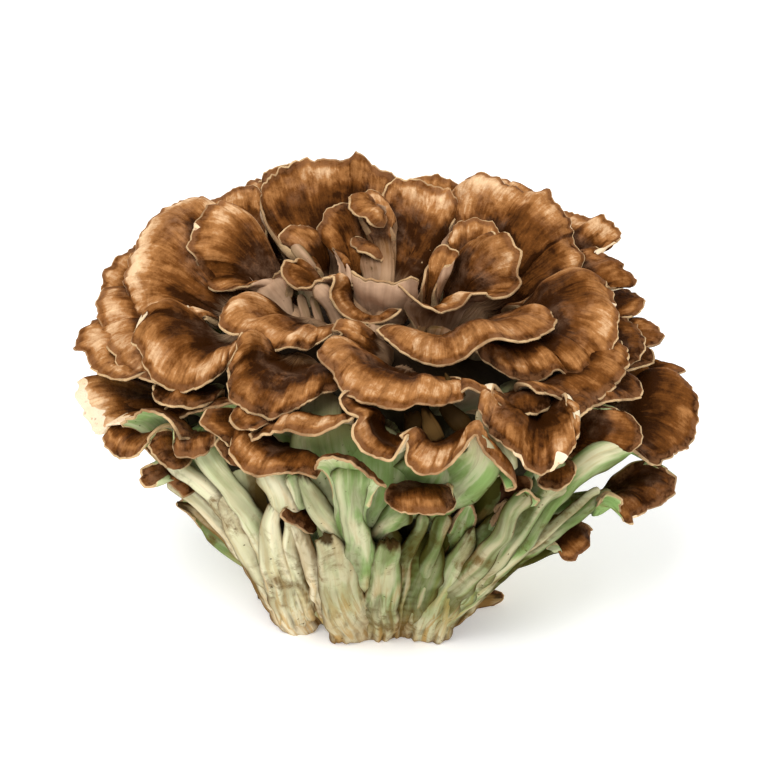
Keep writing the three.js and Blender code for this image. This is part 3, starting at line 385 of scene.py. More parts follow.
LEFT_FRONDS: tuple[Frond, ...] = (
    Frond("left_edge_upper", ((142, 240), (128, 252), (112, 262), (101, 280), (104, 296)), (42, 36, 26),
        reach=34, fall=18, hump=6),
    Frond("left_edge", ((106, 288), (97, 300), (98, 314), (102, 340), (115, 357), (120, 368), (138, 378),
        (156, 384)), (26, -4, -42), reach=40, fall=14, hump=10, tone=0.04),
    Frond("left_edge_lower", ((104, 320), (92, 323), (79, 333), (75, 350), (84, 352), (92, 370),
        (110, 379), (126, 381)), (18, -2, -30), reach=40, fall=12, hump=8),
    Frond("left_torn", ((96, 380), (78, 384), (75, 394), (79, 405), (88, 425), (97, 435), (106, 426),
        (124, 424)), (4, -18, -42), reach=40, fall=8, hump=6, tears=((0.26, 0.4, 9.0, 5.0),
        (0.5, 0.7, 9.0, 7.5), (0.74, 0.9, 8.0, 10.0), (0.93, 0.3, 7.0, 8.0)), tone=0.06),
    Frond("left_under", ((120, 426), (130, 418), (145, 411), (165, 418), (174, 428), (180, 440)),
        (-44, -52, -58), neck=(196, 462, -38), hump=5, tone=-0.04),
    Frond("left_ball", ((106, 428), (103, 441), (112, 456), (130, 459), (141, 453), (148, 438)),
        (-34, -44, -50), reach=32, fall=0, hump=8, tone=-0.03),
    Frond("left_shaded", ((152, 386), (152, 396), (158, 404), (178, 408), (196, 409), (214, 402)),
        (-40, -52, -54), neck=(212, 394, -26), hump=5, tone=-0.06),
    Frond("left_shaded_low", ((170, 404), (163, 413), (172, 421), (188, 415), (208, 409), (234, 404)),
        (-44, -52, -54), reach=22, fall=12, hump=5, tone=-0.04),
    Frond("left_knob", ((176, 439), (172, 447), (177, 456), (192, 459), (206, 454), (215, 445)),
        (-54, -60, -62), neck=(199, 437, -46), hump=6, root=(275, 585, -34), tone=-0.04),
    Frond("left_knob_low", ((158, 432), (148, 440), (152, 455), (168, 468), (180, 470)), (-46, -52, -54),
        neck=(182, 448, -40), hump=4, root=(270, 580, -28), tone=-0.04),
    Frond("left_finger", ((158, 464), (144, 467), (139, 477), (143, 487), (152, 487), (161, 481),
        (172, 487), (183, 498)), (-40, -48, -46), neck=(186, 476, -34), hump=4, root=(268, 585, -24)),
)

RIGHT_FRONDS: tuple[Frond, ...] = (
    Frond("right_stack_1", ((590, 246), (606, 254), (622, 265), (636, 284), (622, 288), (604, 287)),
        (46, 38, 22), reach=32, fall=14, hump=5, tone=-0.06),
    Frond("right_stack_2", ((622, 288), (638, 295), (645, 303), (637, 315), (622, 318)), (40, 32, 18),
        reach=32, fall=14, hump=4, tone=-0.1),
    Frond("right_stack_3", ((630, 318), (650, 322), (664, 334), (660, 344), (642, 348)), (30, 22, 8),
        reach=34, fall=14, hump=5, tone=-0.12),
    Frond("right_stack_4", ((616, 316), (636, 325), (646, 342), (640, 358), (626, 368)), (4, -8, -20),
        reach=32, fall=14, hump=6, tone=-0.12),
    Frond("right_stack_5", ((640, 346), (653, 352), (655, 362), (640, 368), (624, 372)), (4, -4, -16),
        reach=30, fall=12, hump=4, tone=-0.12),
    Frond("right_stack_6", ((650, 362), (668, 365), (687, 371), (676, 376), (660, 384), (640, 390)),
        (16, 6, -10), reach=36, fall=12, hump=5, tone=-0.1),
    Frond("right_middle_a", ((614, 338), (627, 350), (629, 364), (618, 384), (600, 400), (575, 406),
        (552, 396), (536, 394)), (-20, -54, -66), reach=32, fall=12, hump=9, tone=-0.1),
    Frond("right_middle_b", ((628, 374), (642, 386), (641, 398), (612, 402), (592, 409), (576, 421)),
        (-26, -50, -70), reach=34, fall=10, hump=7, tone=-0.1),
    Frond("right_middle_c", ((596, 409), (618, 409), (636, 420), (643, 434), (634, 450), (616, 455),
        (600, 464)), (-52, -56, -68), reach=36, fall=10, hump=8, tone=-0.1),
    Frond("right_far_big", ((662, 378), (684, 381), (697, 397), (698, 420), (692, 444), (673, 456),
        (656, 466), (642, 458)), (6, -20, -50), reach=44, fall=8, hump=11, tears=((0.62, 1.0, 0.8, 0.8),
        (0.7, 1.2, 0.9, 0.8)), tone=-0.12),
    Frond("right_low_fan", ((656, 466), (672, 474), (677, 488), (666, 502), (645, 513), (628, 524),
        (621, 514), (624, 500)), (-36, -46, -58), neck=(594, 502, -38), hump=8, root=(452, 598, -24),
        stalk=(12, 18), tears=((0.62, 2.2, 1.0, 1.4),), tone=-0.1),
    Frond("right_inner_small", ((541, 474), (538, 485), (548, 491), (560, 490), (571, 483), (574, 474)),
        (-78, -84, -78), neck=(557, 463, -64), hump=4, root=(440, 600, -30), tone=-0.06),
    Frond("right_low_curl", ((557, 546), (564, 560), (576, 559), (588, 546), (592, 530)),
        (-44, -46, -40), neck=(552, 530, -38), hump=5, root=(462, 594, -22), tone=-0.12),
)

SPUR_FRONDS: tuple[Frond, ...] = (
    Frond("left_spur", ((190, 514), (176, 504), (182, 498), (196, 503)), (-12, -10, -14),
        neck=(216, 532, -12), hump=1, root=(296, 596, -14), stalk=(10, 18), tone=-0.05),
    Frond("front_curl", ((296, 506), (284, 508), (280, 515), (286, 522), (298, 528), (310, 534),
        (316, 528)), (-68, -74, -70), neck=(306, 510, -58), hump=4, root=(322, 615, -34), stalk=(12, 18),
        tone=-0.1),
    Frond("torn_stump", ((374, 545), (382, 536), (402, 552)), (-68, -70, -66), neck=(390, 575, -52),
        hump=2, root=(386, 622, -30), stalk=(14, 20), tone=-0.14),
    Frond("right_spur", ((460, 512), (469, 503), (477, 516)), (-70, -73, -70), neck=(456, 540, -58),
        hump=1, root=(424, 606, -34), stalk=(10, 18), tone=-0.2),
    Frond("right_stalk", ((512, 500), (526, 490), (540, 501)), (-76, -80, -76), neck=(498, 535, -60),
        hump=2, root=(438, 606, -30), stalk=(12, 18), tone=-0.1),
    Frond("foot_tongue", ((480, 590), (500, 592), (503, 600), (486, 607)), (-8, -8, -12),
        neck=(466, 599, -10), hump=1, root=(430, 600, -8), stalk=(12, 16), tone=-0.05),
    Frond("foot_stub", ((259, 586), (261, 600), (274, 613)), (-4, -6, -16), neck=(284, 596, -10), hump=1,
        root=(306, 600, -10), stalk=(14, 16)),
)

STALKS: tuple[Stalk, ...] = (
    Stalk("left_low_spur", ((178, 503, 5), (196, 510, 12), (216, 526, 16), (236, 543, 20),
        (254, 563, 24), (270, 590, 28), (288, 617, 30)), (-14, -14, -17), green=0.15, shade=0, brown=7),
    Stalk("left_finger_stalk", ((168, 482, 12), (184, 491, 14), (204, 506, 16), (226, 527, 21),
        (248, 552, 25), (268, 582, 30), (286, 612, 34)), (-44, -34, -20), green=0.3, shade=0),
    Stalk("left_low_stalk", ((168, 454, 16), (180, 468, 18), (196, 481, 19), (216, 498, 18),
        (236, 522, 22), (256, 550, 28), (276, 590, 32), (292, 622, 35)), (-42, -46, -24), green=0.35,
        shade=0),
    Stalk("left_knob_stalk", ((203, 440, 28), (209, 456, 28), (217, 472, 23), (230, 488, 21),
        (246, 508, 23), (260, 532, 26), (276, 566, 31), (290, 600, 34), (300, 628, 34)), (-48, -54, -27),
        green=0.6, shade=0),
    Stalk("left_fork", ((276, 498, 7), (274, 508, 14), (270, 524, 19), (272, 548, 26), (280, 580, 34),
        (296, 618, 38)), (-66, -56, -30), green=0.35, shade=0, brown=4),
    Stalk("left_cream", ((262, 566, 21), (278, 592, 32), (292, 612, 39), (306, 631, 39)),
        (-36, -32, -30), green=0, shade=0),
    Stalk("left_stub", ((258, 592, 7), (266, 602, 14), (276, 612, 16), (288, 620, 16)), (-6, -8, -16),
        green=0, shade=0, brown=3),
    Stalk("oval_stalk", ((268, 462, 39), (277, 478, 39), (286, 496, 30), (293, 516, 21), (292, 540, 18),
        (296, 566, 18), (304, 592, 18), (312, 618, 16)), (-70, -62, -34), green=0.35, shade=0),
    Stalk("oval_strip", ((290, 476, 16), (297, 490, 12), (303, 508, 8)), (-84, -78, -74), green=0.9,
        shade=0.1),
    Stalk("nub_stalk", ((301, 470, 6), (305, 482, 13), (311, 494, 18), (322, 512, 24), (336, 530, 24),
        (350, 545, 20), (360, 560, 18)), (-86, -77, -60), green=0.8, shade=0.2, brown=7),
    Stalk("wedge_stalk", ((326, 416, 64), (326, 430, 70), (328, 450, 66), (334, 472, 56), (340, 494, 50),
        (346, 516, 44), (352, 540, 36)), (-76, -78, -64), 0.3, green=1, shade=0.12),
    Stalk("t_stalk", ((352, 464, 40), (352, 476, 40), (351, 486, 32), (351, 500, 26), (352, 516, 22),
        (356, 532, 24), (361, 552, 32), (364, 572, 36), (366, 596, 30)), (-92, -82, -44), 0.55, green=1,
        shade=0.2),
    Stalk("curl_stalk", ((284, 513, 10), (296, 524, 15), (304, 542, 16), (312, 566, 18), (320, 592, 20),
        (328, 614, 18)), (-60, -66, -38), green=0.15, shade=0.15, brown=6),
    Stalk("front_trunk", ((322, 536, 16), (332, 552, 30), (337, 572, 38), (342, 596, 44), (350, 618, 52),
        (358, 635, 56)), (-80, -62, -35), 0.45, green=0.55, shade=0.35, brown=4),
    Stalk("torn_stalk", ((388, 541, 22), (388, 556, 26), (385, 578, 32), (382, 602, 36), (380, 635, 34)),
        (-78, -60, -35), 0.6, green=0.9, shade=0.35, brown=3.5),
    Stalk("ochre_foot", ((368, 604, 18), (370, 620, 26), (372, 635, 28)), (-46, -38, -34), green=0.3,
        shade=0.3),
    Stalk("cap_stalk", ((406, 508, 34), (394, 516, 26), (382, 526, 20), (372, 538, 18), (366, 552, 16)),
        (-82, -72, -58), green=1, shade=0.35),
    Stalk("slim_a", ((424, 514, 14), (420, 528, 13), (412, 542, 14), (404, 560, 18), (400, 585, 21),
        (398, 610, 21), (396, 634, 21)), (-72, -60, -33), green=0.9, shade=0.55),
    Stalk("slim_b", ((446, 514, 16), (440, 528, 16), (433, 545, 16), (428, 562, 16), (420, 590, 21),
        (408, 634, 23)), (-72, -60, -33), green=1, shade=0.6),
    Stalk("slim_c", ((472, 502, 8), (460, 518, 9), (448, 538, 10), (436, 560, 12), (424, 590, 16)),
        (-66, -58, -40), green=1, shade=0.85),
    Stalk("right_spur", ((471, 526, 4), (468, 540, 15), (462, 556, 24), (450, 578, 37), (436, 602, 48),
        (420, 634, 57)), (-66, -56, -33), 0.5, green=0.9, shade=0.3, brown=3),
    Stalk("long_diagonal", ((634, 447, 9), (618, 451, 20), (600, 457, 29), (583, 467, 26),
        (566, 482, 23), (548, 504, 22), (530, 528, 24), (508, 552, 29), (478, 578, 33), (448, 606, 37),
        (424, 632, 40)), (-58, -66, -32), green=1, shade=0.22),
    Stalk("inner_diagonal", ((568, 478, 26), (550, 488, 24), (536, 502, 21), (520, 524, 24),
        (504, 546, 26), (484, 566, 30), (456, 592, 35), (432, 620, 42)), (-66, -66, -34), green=1,
        shade=0.45),
    Stalk("near_diagonal", ((528, 494, 22), (516, 506, 18), (507, 522, 18), (497, 540, 19),
        (484, 558, 22), (464, 580, 27), (440, 606, 32), (420, 630, 35)), (-78, -66, -34), green=0.9,
        shade=0.5),
    Stalk("low_diagonal", ((612, 494, 12), (596, 500, 14), (576, 514, 15), (556, 530, 16),
        (534, 546, 18), (508, 562, 22), (478, 586, 28), (452, 612, 30), (436, 624, 25)), (-44, -50, -24),
        green=1, shade=0.4),
    Stalk("pale_finger", ((600, 490, 8), (592, 493, 8), (580, 503, 9), (562, 518, 10), (540, 536, 12),
        (516, 554, 14), (490, 574, 16)), (-54, -56, -42), green=0.6, shade=0.25),
    Stalk("low_edge", ((572, 548, 10), (556, 549, 10), (536, 556, 11), (514, 564, 12), (496, 574, 14),
        (478, 592, 16), (460, 610, 18), (446, 620, 16)), (-36, -32, -18), green=1, shade=0.55),
    Stalk("foot_tongue", ((502, 596, 7), (490, 600, 12), (476, 602, 14), (460, 612, 16), (446, 620, 16)),
        (-10, -14, -20), green=0.2, shade=0.25, brown=4),
    Stalk("low_bump", ((506, 572, 8), (496, 580, 12), (484, 590, 14), (470, 602, 16), (452, 616, 18)),
        (-14, -20, -20), green=0.9, shade=0.5),
    Stalk("right_flank", ((470, 590, 20), (450, 608, 26), (436, 622, 26), (424, 632, 20)),
        (-30, -30, -30), green=0.9, shade=0.4),
    Stalk("left_web", ((226, 494, 22), (238, 516, 34), (254, 544, 42), (280, 578, 42), (294, 604, 42),
        (303, 628, 34)), (-50, -46, -25), 0.3, green=0.3, shade=0.05),
    Stalk("left_gap_web", ((238, 470, 30), (244, 492, 40), (254, 520, 44), (266, 548, 40)),
        (-52, -48, -40), 0.25, green=0.5, shade=0.4),
    Stalk("centre_web", ((336, 492, 44), (346, 516, 60), (364, 546, 72), (374, 578, 78), (376, 606, 80),
        (376, 626, 74)), (-74, -64, -34), 0.2, green=0.9, shade=0.2),
    Stalk("fork_web", ((430, 534, 34), (422, 556, 46), (412, 582, 56), (402, 610, 56), (396, 630, 50)),
        (-62, -56, -32), 0.25, green=1, shade=0.8),
    Stalk("right_web", ((526, 506, 28), (508, 526, 38), (486, 550, 46), (458, 578, 52), (434, 604, 54),
        (418, 630, 50)), (-64, -60, -30), 0.25, green=0.95, shade=0.3),
    Stalk("right_edge_web", ((562, 518, 14), (540, 530, 20), (512, 546, 26), (484, 566, 30),
        (456, 590, 32)), (-46, -44, -26), 0.3, green=1, shade=0.4),
)

UPPER_STALKS: tuple[Stalk, ...] = (
    Stalk("left_tongue_stalk", ((294, 244, 10), (301, 254, 13), (308, 263, 11), (315, 272, 7)),
        (9, 3, 4)),
    Stalk("centre_tongue_stalk", ((366, 213, 14), (370, 226, 15), (375, 240, 14), (379, 254, 10),
        (382, 270, 6)), (27, 17, 10), 0.5),
    Stalk("centre_tip_stalk", ((364, 246, 20), (367, 256, 24), (370, 266, 23), (373, 276, 21),
        (374, 290, 20)), (16, 7, 4), 0.4),
    Stalk("inner_stalk_a", ((266, 282, 46), (273, 292, 36), (281, 304, 24), (287, 316, 16),
        (292, 330, 13)), (4, 0, 0), 0.4),
    Stalk("inner_stalk_b", ((301, 294, 9), (303, 308, 10), (306, 326, 10)), (-2, -4, -6)),
    Stalk("inner_stalk_c", ((313, 296, 8), (317, 312, 9), (322, 330, 9)), (-3, -5, -7)),
    Stalk("curl_stalk_upper", ((316, 286, 20), (327, 298, 18), (336, 312, 16), (343, 328, 16)),
        (-14, -12, -12)),
    Stalk("curl_stalk_lower", ((374, 325, 24), (376, 336, 18), (378, 350, 16)), (-22, -20, -20)),
)

INNER_STALKS: tuple[Stalk, ...] = (
    Stalk("bowl_funnel", ((324, 390, 36), (322, 406, 40), (322, 424, 36), (326, 440, 30)),
        (-60, -66, -72), 0.3, green=1, shade=0.25),
    Stalk("ribbon_wall_left", ((366, 428, 40), (374, 450, 58), (378, 474, 66), (374, 500, 56),
        (368, 524, 40)), (-76, -78, -70), 0.25, green=1, shade=0.3),
    Stalk("ribbon_wall_right", ((432, 446, 74), (434, 468, 80), (428, 488, 72), (420, 514, 50)),
        (-80, -78, -66), 0.25, green=1, shade=0.35),
    Stalk("ribbon_sail", ((472, 434, 10), (479, 450, 28), (475, 466, 46), (456, 480, 52),
        (430, 492, 44)), (-98, -90, -66), 0.12, green=1, shade=0.25),
    Stalk("fan_stem", ((558, 458, 30), (547, 480, 27), (531, 504, 22), (512, 530, 20)), (-74, -68, -52),
        0.5, green=1, shade=0.35),
    Stalk("fan_wall", ((478, 410, 8), (482, 424, 14), (489, 438, 22), (498, 454, 28), (506, 472, 26)),
        (-74, -78, -74), 0.3, green=0.6, shade=0.4),
    Stalk("hollow_left", ((412, 412, 12), (413, 421, 18), (412, 432, 16)), (-70, -74, -72), 0.6,
        green=0.1, shade=0.8, brown=40),
    Stalk("hollow_middle", ((423, 408, 6), (427, 418, 12), (432, 428, 16), (438, 440, 14)),
        (-66, -72, -72), 0.4, green=0, shade=1.4, brown=4),
    Stalk("hollow_right", ((440, 402, 12), (450, 412, 16), (460, 422, 18), (468, 432, 14)),
        (-66, -72, -74), 0.5, green=0.1, shade=0.8, brown=40),
    Stalk("nub_left", ((446, 377, 4), (449, 384, 8), (453, 394, 9)), (-66, -68, -68), 0.7, shade=0.9,
        brown=6),
    Stalk("nub_right", ((456, 381, 4), (459, 388, 7), (462, 397, 8)), (-64, -66, -66), 0.7, shade=0.9,
        brown=6),
    Stalk("ruffle_stem", ((446, 330, 40), (440, 344, 30), (434, 360, 26)), (-16, -10, -4), 0.4),
    Stalk("gap_green", ((500, 478, 30), (492, 494, 28), (480, 514, 24), (466, 536, 20)), (-66, -60, -50),
        0.5, green=1, shade=0.95),
)


# ------------------------------------------------------------------------------ shape of a frond, a stalk

GOLDEN = 0.618034
# How much a frond's upper face is taken to lean outwards, for each millimetre from the axis.
LEAN = 0.006
# Values for corners that no lip or tear is near, and the height under which flesh turns green.
INWARD = 40.0
WHOLE = -9.0
GREEN_TOP = 126.0


class Edge:
    """A smooth curve through points, measured along its chords so that marks may be unevenly spaced."""

    def __init__(self, points: np.ndarray) -> None:
        """Keep the points and the chord length up to each."""
        self.points = points
        steps = np.linalg.norm(np.diff(points, axis=0), axis=1)
        self.at = np.concatenate(((0.0,), np.cumsum(steps)))
        self.length = float(self.at[-1])
        after = np.minimum(np.arange(len(points)) + 1, len(points) - 1)
        before = np.maximum(np.arange(len(points)) - 1, 0)
        self.slopes = (points[after] - points[before]) / (self.at[after] - self.at[before])[:, None]

    def point(self, t: np.ndarray) -> np.ndarray:
        """Return the points at shares t: a cubic between two marks that meets each mark's slope."""
        way = np.clip(t, 0.0, 1.0) * self.length
        i = np.clip(np.searchsorted(self.at, way, side="right") - 1, 0, len(self.points) - 2)
        step = (self.at[i + 1] - self.at[i])[:, None]
        u = (way - self.at[i])[:, None] / step
        return (
            self.points[i] * (1 + 2 * u) * (1 - u) ** 2
            + self.slopes[i] * step * u * (1 - u) ** 2
            + self.points[i + 1] * u * u * (3 - 2 * u)
            + self.slopes[i + 1] * step * u * u * (u - 1)
        )

    def middle(self) -> np.ndarray:
        """Return the mean of points spread evenly along it."""
        return self.point(np.linspace(0.0, 1.0, 9)).mean(0)


@dataclass
class Layout:
    """Where one frond lies: its lip's points, neck and root, with the plan that gives its other sizes.

    sighted says that its lip sways along the lines of sight, so that its outline stays as drawn.
    """

    plan: Frond
    lip: np.ndarray
    neck: np.ndarray
    root: np.ndarray
    sighted: bool = False


@dataclass
class Sheet:
    """A middle surface: its points in rows and columns, u of each row, t of each column and its arc."""

    points: np.ndarray
    u: np.ndarray
    t: np.ndarray
    arc: np.ndarray

    def run(self, axis: int) -> np.ndarray:
        """Return how far each point has come along the surface, down the rows (0) or across them (1)."""
        steps = np.linalg.norm(np.diff(self.points, axis=axis), axis=2)
        start = np.zeros_like(steps[:1] if axis == 0 else steps[:, :1])
        return np.concatenate((start, np.cumsum(steps, axis=axis)), axis=axis)


@dataclass
class Patch:
    """One closed skin: corners, four-sided faces, named values at the corners, and any triangles."""

    corners: np.ndarray
    faces: np.ndarray
    values: dict[str, np.ndarray]
    triangles: np.ndarray = field(default_factory=lambda: np.empty((0, 3), int))


def closed(upper: np.ndarray, lower: np.ndarray, values: dict[str, np.ndarray]) -> Patch:
    """Join two grids of the same size round their edge into one closed skin.

    Args:
        upper: the corners of the upper skin, rows by columns.
        lower: those of the underside.
        values: named values on that grid, the same for both skins.

    Returns:
        The closed skin: the underside's edge corners are the upper skin's, and it is wound the
        other way round.
    """
    rows, columns = upper.shape[:2]
    top = np.arange(rows * columns).reshape(rows, columns)
    bottom = top.copy()
    inside = (rows - 2) * (columns - 2)
    bottom[1:-1, 1:-1] = rows * columns + np.arange(inside).reshape(rows - 2, columns - 2)
    corners = np.concatenate((upper.reshape(-1, 3), lower[1:-1, 1:-1].reshape(-1, 3)))

    def quads(grid: np.ndarray) -> np.ndarray:
        """Return the four-sided faces of a grid of corner numbers."""
        return np.stack((grid[:-1, :-1], grid[1:, :-1], grid[1:, 1:], grid[:-1, 1:]), -1).reshape(-1, 4)

    faces = np.concatenate((quads(top), quads(bottom)[:, ::-1]))
    both = {
        name: np.concatenate((grid.reshape(-1), grid[1:-1, 1:-1].reshape(-1)))
        for name, grid in values.items()
    }
    side = np.ones((rows, columns))
    side[0] = side[-1] = 0.5
    side[:, 0] = side[:, -1] = 0.5
    both["upper"] = np.concatenate((side.reshape(-1), np.zeros(inside)))
    return Patch(corners, faces, both)


def split_back(patches: list[Patch], values: np.ndarray) -> list[np.ndarray]:
    """Return each patch's share of values that were worked out for all their corners in one array."""
    return np.split(values, np.cumsum([len(p.corners) for p in patches])[:-1])


def own_number(seed: int, shape: tuple[int, ...]) -> np.ndarray:
    """Return a skin's own number, 0 to 1: the fraction of its seed times the golden ratio."""
    return np.full(shape, (seed * GOLDEN) % 1.0)


@dataclass(frozen=True)
class FrondMaker:
    """Turns a frond's layout into a closed skin.

    The middle surface runs over u, 0 to 1 up the stalk and 1 to 2 out to the lip, and t across. Both
    skins stand half the thickness off it and share their corners round the edge.

    blade, lip_thick, stalk_thick and root_thick are thicknesses, and spacing and stalk_spacing the
    lengths between corners. A height is followed by the period of its waves: crenate and nick are the
    scallops of the lip, ruffle its slow waves, wrinkle the folds across the frond, lump its unevenness
    and ridge the strands on its neck. All are in millimetres, but ridge is a share of the thickness.

    The blade thins over the last thinning millimetres, and folds and lumps fade over the last quiet. At
    the neck the sides lie margin further from the edge than they do at the lip. Folds bend by bend in
    every bend_length and strands by sway in every sway_length. As shares of the way from neck to lip,
    columns have come apart evenly at fanned, the round section is flat at flattened, the blade's
    thickness is reached at thinned, rim_start is where the pale rim sets in along the sides and
    ridge_fade where strands start and end fading. arch is how much of the hump the cubic gives.
    """

    blade: float = 2.2
    lip_thick: float = 1.0
    stalk_thick: float = 7.0
    root_thick: float = 10.0
    spacing: float = 1.3
    stalk_spacing: float = 3.0
    crenate: float = 0.6
    crenate_period: float = 7.0
    nick: float = 0.25
    nick_period: float = 2.6
    ruffle_period: float = 24.0
    tear_period: float = 2.2
    flesh_period: float = 6.0
    wrinkle: float = 0.13
    wrinkle_period: float = 4.2
    lump: float = 0.55
    lump_period: float = 15.0
    ridge: float = 0.048
    ridge_period: float = 3.4
    thinning: float = 7.0
    quiet: float = 3.0
    margin: float = 9.0
    bend: float = 1.5
    bend_length: float = 9.0
    sway: float = 2.0
    sway_length: float = 23.0
    fanned: float = 0.35
    flattened: float = 0.5
    thinned: float = 0.65
    rim_start: Point = (0.08, 0.3)
    ridge_fade: Point = (0.1, 0.6)
    arch: float = 5.2

    def columns(self, length: float) -> np.ndarray:
        """Return the shares across: even, with close pairs at both ends where the edge rounds over."""
        count = int(np.clip(round(length / self.spacing), 18, 120))
        close = np.array((0.0, 0.25, 0.7)) / length
        even = np.linspace(0.0, 1.0, count + 1)[1:-1]
        return np.concatenate((close, even, 1.0 - close[::-1]))

    def rows(self, stem: float, reach: float) -> tuple[np.ndarray, np.ndarray]:
        """Return u up the stalk, and s from the neck to the lip with close rows where it rounds over."""
        climb = int(np.clip(round(stem / self.stalk_spacing), 4, 26))
        fan = int(np.clip(round(reach / self.spacing), 12, 48))
        close = 1.0 - np.array((0.75, 0.4, 0.15, 0.0)) / reach
        even = np.linspace(0.0, 1.0, fan + 1)
        even = even[even < close[0] - 0.4 / reach]
        return np.linspace(0.0, 1.0, climb + 1)[:-1], np.concatenate((even, close))

    def make(self, laid: Layout, seed: int) -> Patch:
        """Build one frond and its stalk.

        Args:
            laid: where the frond lies.
            seed: starts its own ripples.

        Returns:
            The closed skin, with its values for the finish.
        """
        plan = laid.plan
        ripples = Ripples(seed)
        edge = Edge(laid.lip)
        centre = edge.middle()
        along = unit(centre - laid.neck)
        ends = edge.point(np.array((0.0, 1.0)))
        across = ends[1] - ends[0]
        across = unit(across - along * (across @ along))
        face = np.cross(along, across)
        flipped = face @ (UP - np.array((centre[0], centre[1], 0.0)) * LEAN) < 0
        if flipped:
            edge = Edge(laid.lip[::-1])
            across, face = -across, -face

        t = self.columns(edge.length)
        arc = t * edge.length
        lip = edge.point(t)
        outward = unit(lip - laid.neck)
        scallops = self.crenate * ripples.line(arc, self.crenate_period)
        lip = lip + outward * (scallops + self.nick * ripples.line(arc, self.nick_period))[:, None]
        sway = DRAWING.forward if laid.sighted else face
        lip = lip + sway * (plan.ruffle * ripples.line(arc, self.ruffle_period))[:, None]
        torn = np.zeros_like(t)
        for place, deep, wide, white in plan.tears:
            at = 1 - place if flipped else place
            notch = np.exp(-(((arc - at * edge.length) / wide) ** 2))
            jag = 0.75 + 0.25 * ripples.line(arc, self.tear_period)
            lip = lip - outward * (deep * notch * jag)[:, None]
            torn = np.maximum(torn, white * notch * (1 + 0.14 * ripples.line(arc, self.flesh_period)))

        stem = float(np.linalg.norm(laid.neck - laid.root))
        reach = float(np.linalg.norm(lip - laid.neck, axis=1).mean())
        climb, fan = self.rows(stem, reach)
        low = self.stalk_surface(laid, along, across, stem, climb, t)
        high = self.fan_surface(laid, along, across, face, lip, fan, t)
        sheet = Sheet(np.concatenate((low, high)), np.concatenate((climb, 1.0 + fan)), t, arc)
        return self.skin(plan, sheet, torn, ripples, seed)

    def stalk_surface(self, laid: Layout, along: np.ndarray, across: np.ndarray, stem: float,
                      u: np.ndarray, t: np.ndarray) -> np.ndarray:
        """Return the stalk's middle surface: a Bezier from the root up into the neck, widened across it.

        The Bezier leaves the root upwards and meets the neck along the frond. Corners lie at the cosine of
        the share across, so that a half thickness of its sine makes an ellipse.
        """
        pull = 0.4 * stem
        low = laid.root + UP * (pull * 0.6)
        high = laid.neck - along * pull
        u = u[:, None, None]
        w = 1.0 - u
        line = laid.root * w**3 + low * 3 * w * w * u + high * 3 * w * u * u + laid.neck * u**3
        neck_wide, root_wide = laid.plan.stalk
        wide = root_wide + (neck_wide - root_wide) * u
        return line + across * (-0.5 * np.cos(np.pi * t)[None, :, None] * wide)

    def fan_surface(self, laid: Layout, along: np.ndarray, across: np.ndarray, face: np.ndarray,
                    lip: np.ndarray, s: np.ndarray, t: np.ndarray) -> np.ndarray:
        """Return the frond's middle surface, from the neck at s = 0 to the lip at s = 1.

        The way along the frond grows as s and the way across as s (1 + flare (1 - s)): a positive flare
        widens early, and a negative one keeps a narrow funnel under the lip. The upper face arches by
        arch hump s^2 (1 - s), less towards the sides.
        """
        plan = laid.plan
        out = lip - laid.neck
        ahead = out @ along
        sideways = out - along * ahead[:, None]
        s = s[:, None, None]
        side = (t - 0.5)[None, :, None]
        rounded = -0.5 * np.cos(np.pi * t)[None, :, None]
        blend = smooth(0.0, self.fanned, s)
        across_stalk = (rounded * (1 - blend) + side * blend) * plan.stalk[0] * (1 - s)
        arch = plan.hump * self.arch * s * s * (1 - s) * (1.3 - (2 * side) ** 2 * 0.6)
        return (
            laid.neck
            + along * ahead[None, :, None] * s
            + sideways[None] * (s * (1 + plan.flare * (1 - s)))
            + across * across_stalk
            + face * arch
        )

    def skin(self, plan: Frond, sheet: Sheet, torn: np.ndarray, ripples: Ripples, seed: int) -> Patch:
        """Thicken the middle surface into two skins that share their edge corners.

        Args:
            plan: the frond's sizes.
            sheet: its middle surface.
            torn: how torn the lip is at each column.
            ripples: the frond's own ripples.
            seed: its number, for the finish.

        Returns:
            The closed skin with its values.
        """
        middle, u, t, arc = sheet.points, sheet.u, sheet.t, sheet.arc
        s = np.clip(u - 1.0, 0.0, 1.0)[:, None]
        left, travelled = sheet.run(1), sheet.run(0)
        to_lip = travelled[-1:] - travelled
        sides = np.minimum(left, left[:, -1:] - left)

        to_edge = np.minimum(to_lip, sides + self.margin * (1 - s))
        rim = np.minimum(to_lip, sides + INWARD * (1 - smooth(*self.rim_start, s)))

        normal = unit(np.cross(np.gradient(middle, axis=0), np.gradient(middle, axis=1)))
        bent = np.broadcast_to(arc, left.shape) + self.bend * np.sin(to_lip / self.bend_length)
        wave = self.wrinkle * ripples.line(bent, self.wrinkle_period)
        lumps = self.lump * ripples.sheet(middle[..., 0] + middle[..., 2], middle[..., 1], self.lump_period)
        middle = middle + normal * ((wave * s + lumps) * smooth(0.0, self.quiet, to_edge))[..., None]

        rounded = np.sin(np.pi * t)[None, :]
        flat = smooth(0.0, self.flattened, s)
        root = np.clip(u, 0.0, 1.0)[:, None]
        thick = self.root_thick + (self.stalk_thick - self.root_thick) * root
        thick = thick + (self.blade - thick) * smooth(0.0, self.thinned, s)
        thinned = (self.blade - self.lip_thick) * smooth(self.thinning, 0.0, to_edge)
        half = (thick - thinned) / 2 * (rounded * (1 - flat) + flat)
        radius = self.lip_thick / 2
        at_lip = np.sqrt(1 - (1 - np.clip(to_lip / radius, 0, 1)) ** 2)
        at_side = np.sqrt(1 - (1 - np.clip(sides / radius, 0, 1)) ** 2)
        half = half * at_lip * (1 - flat + flat * at_side)
        half[0] = 0.0

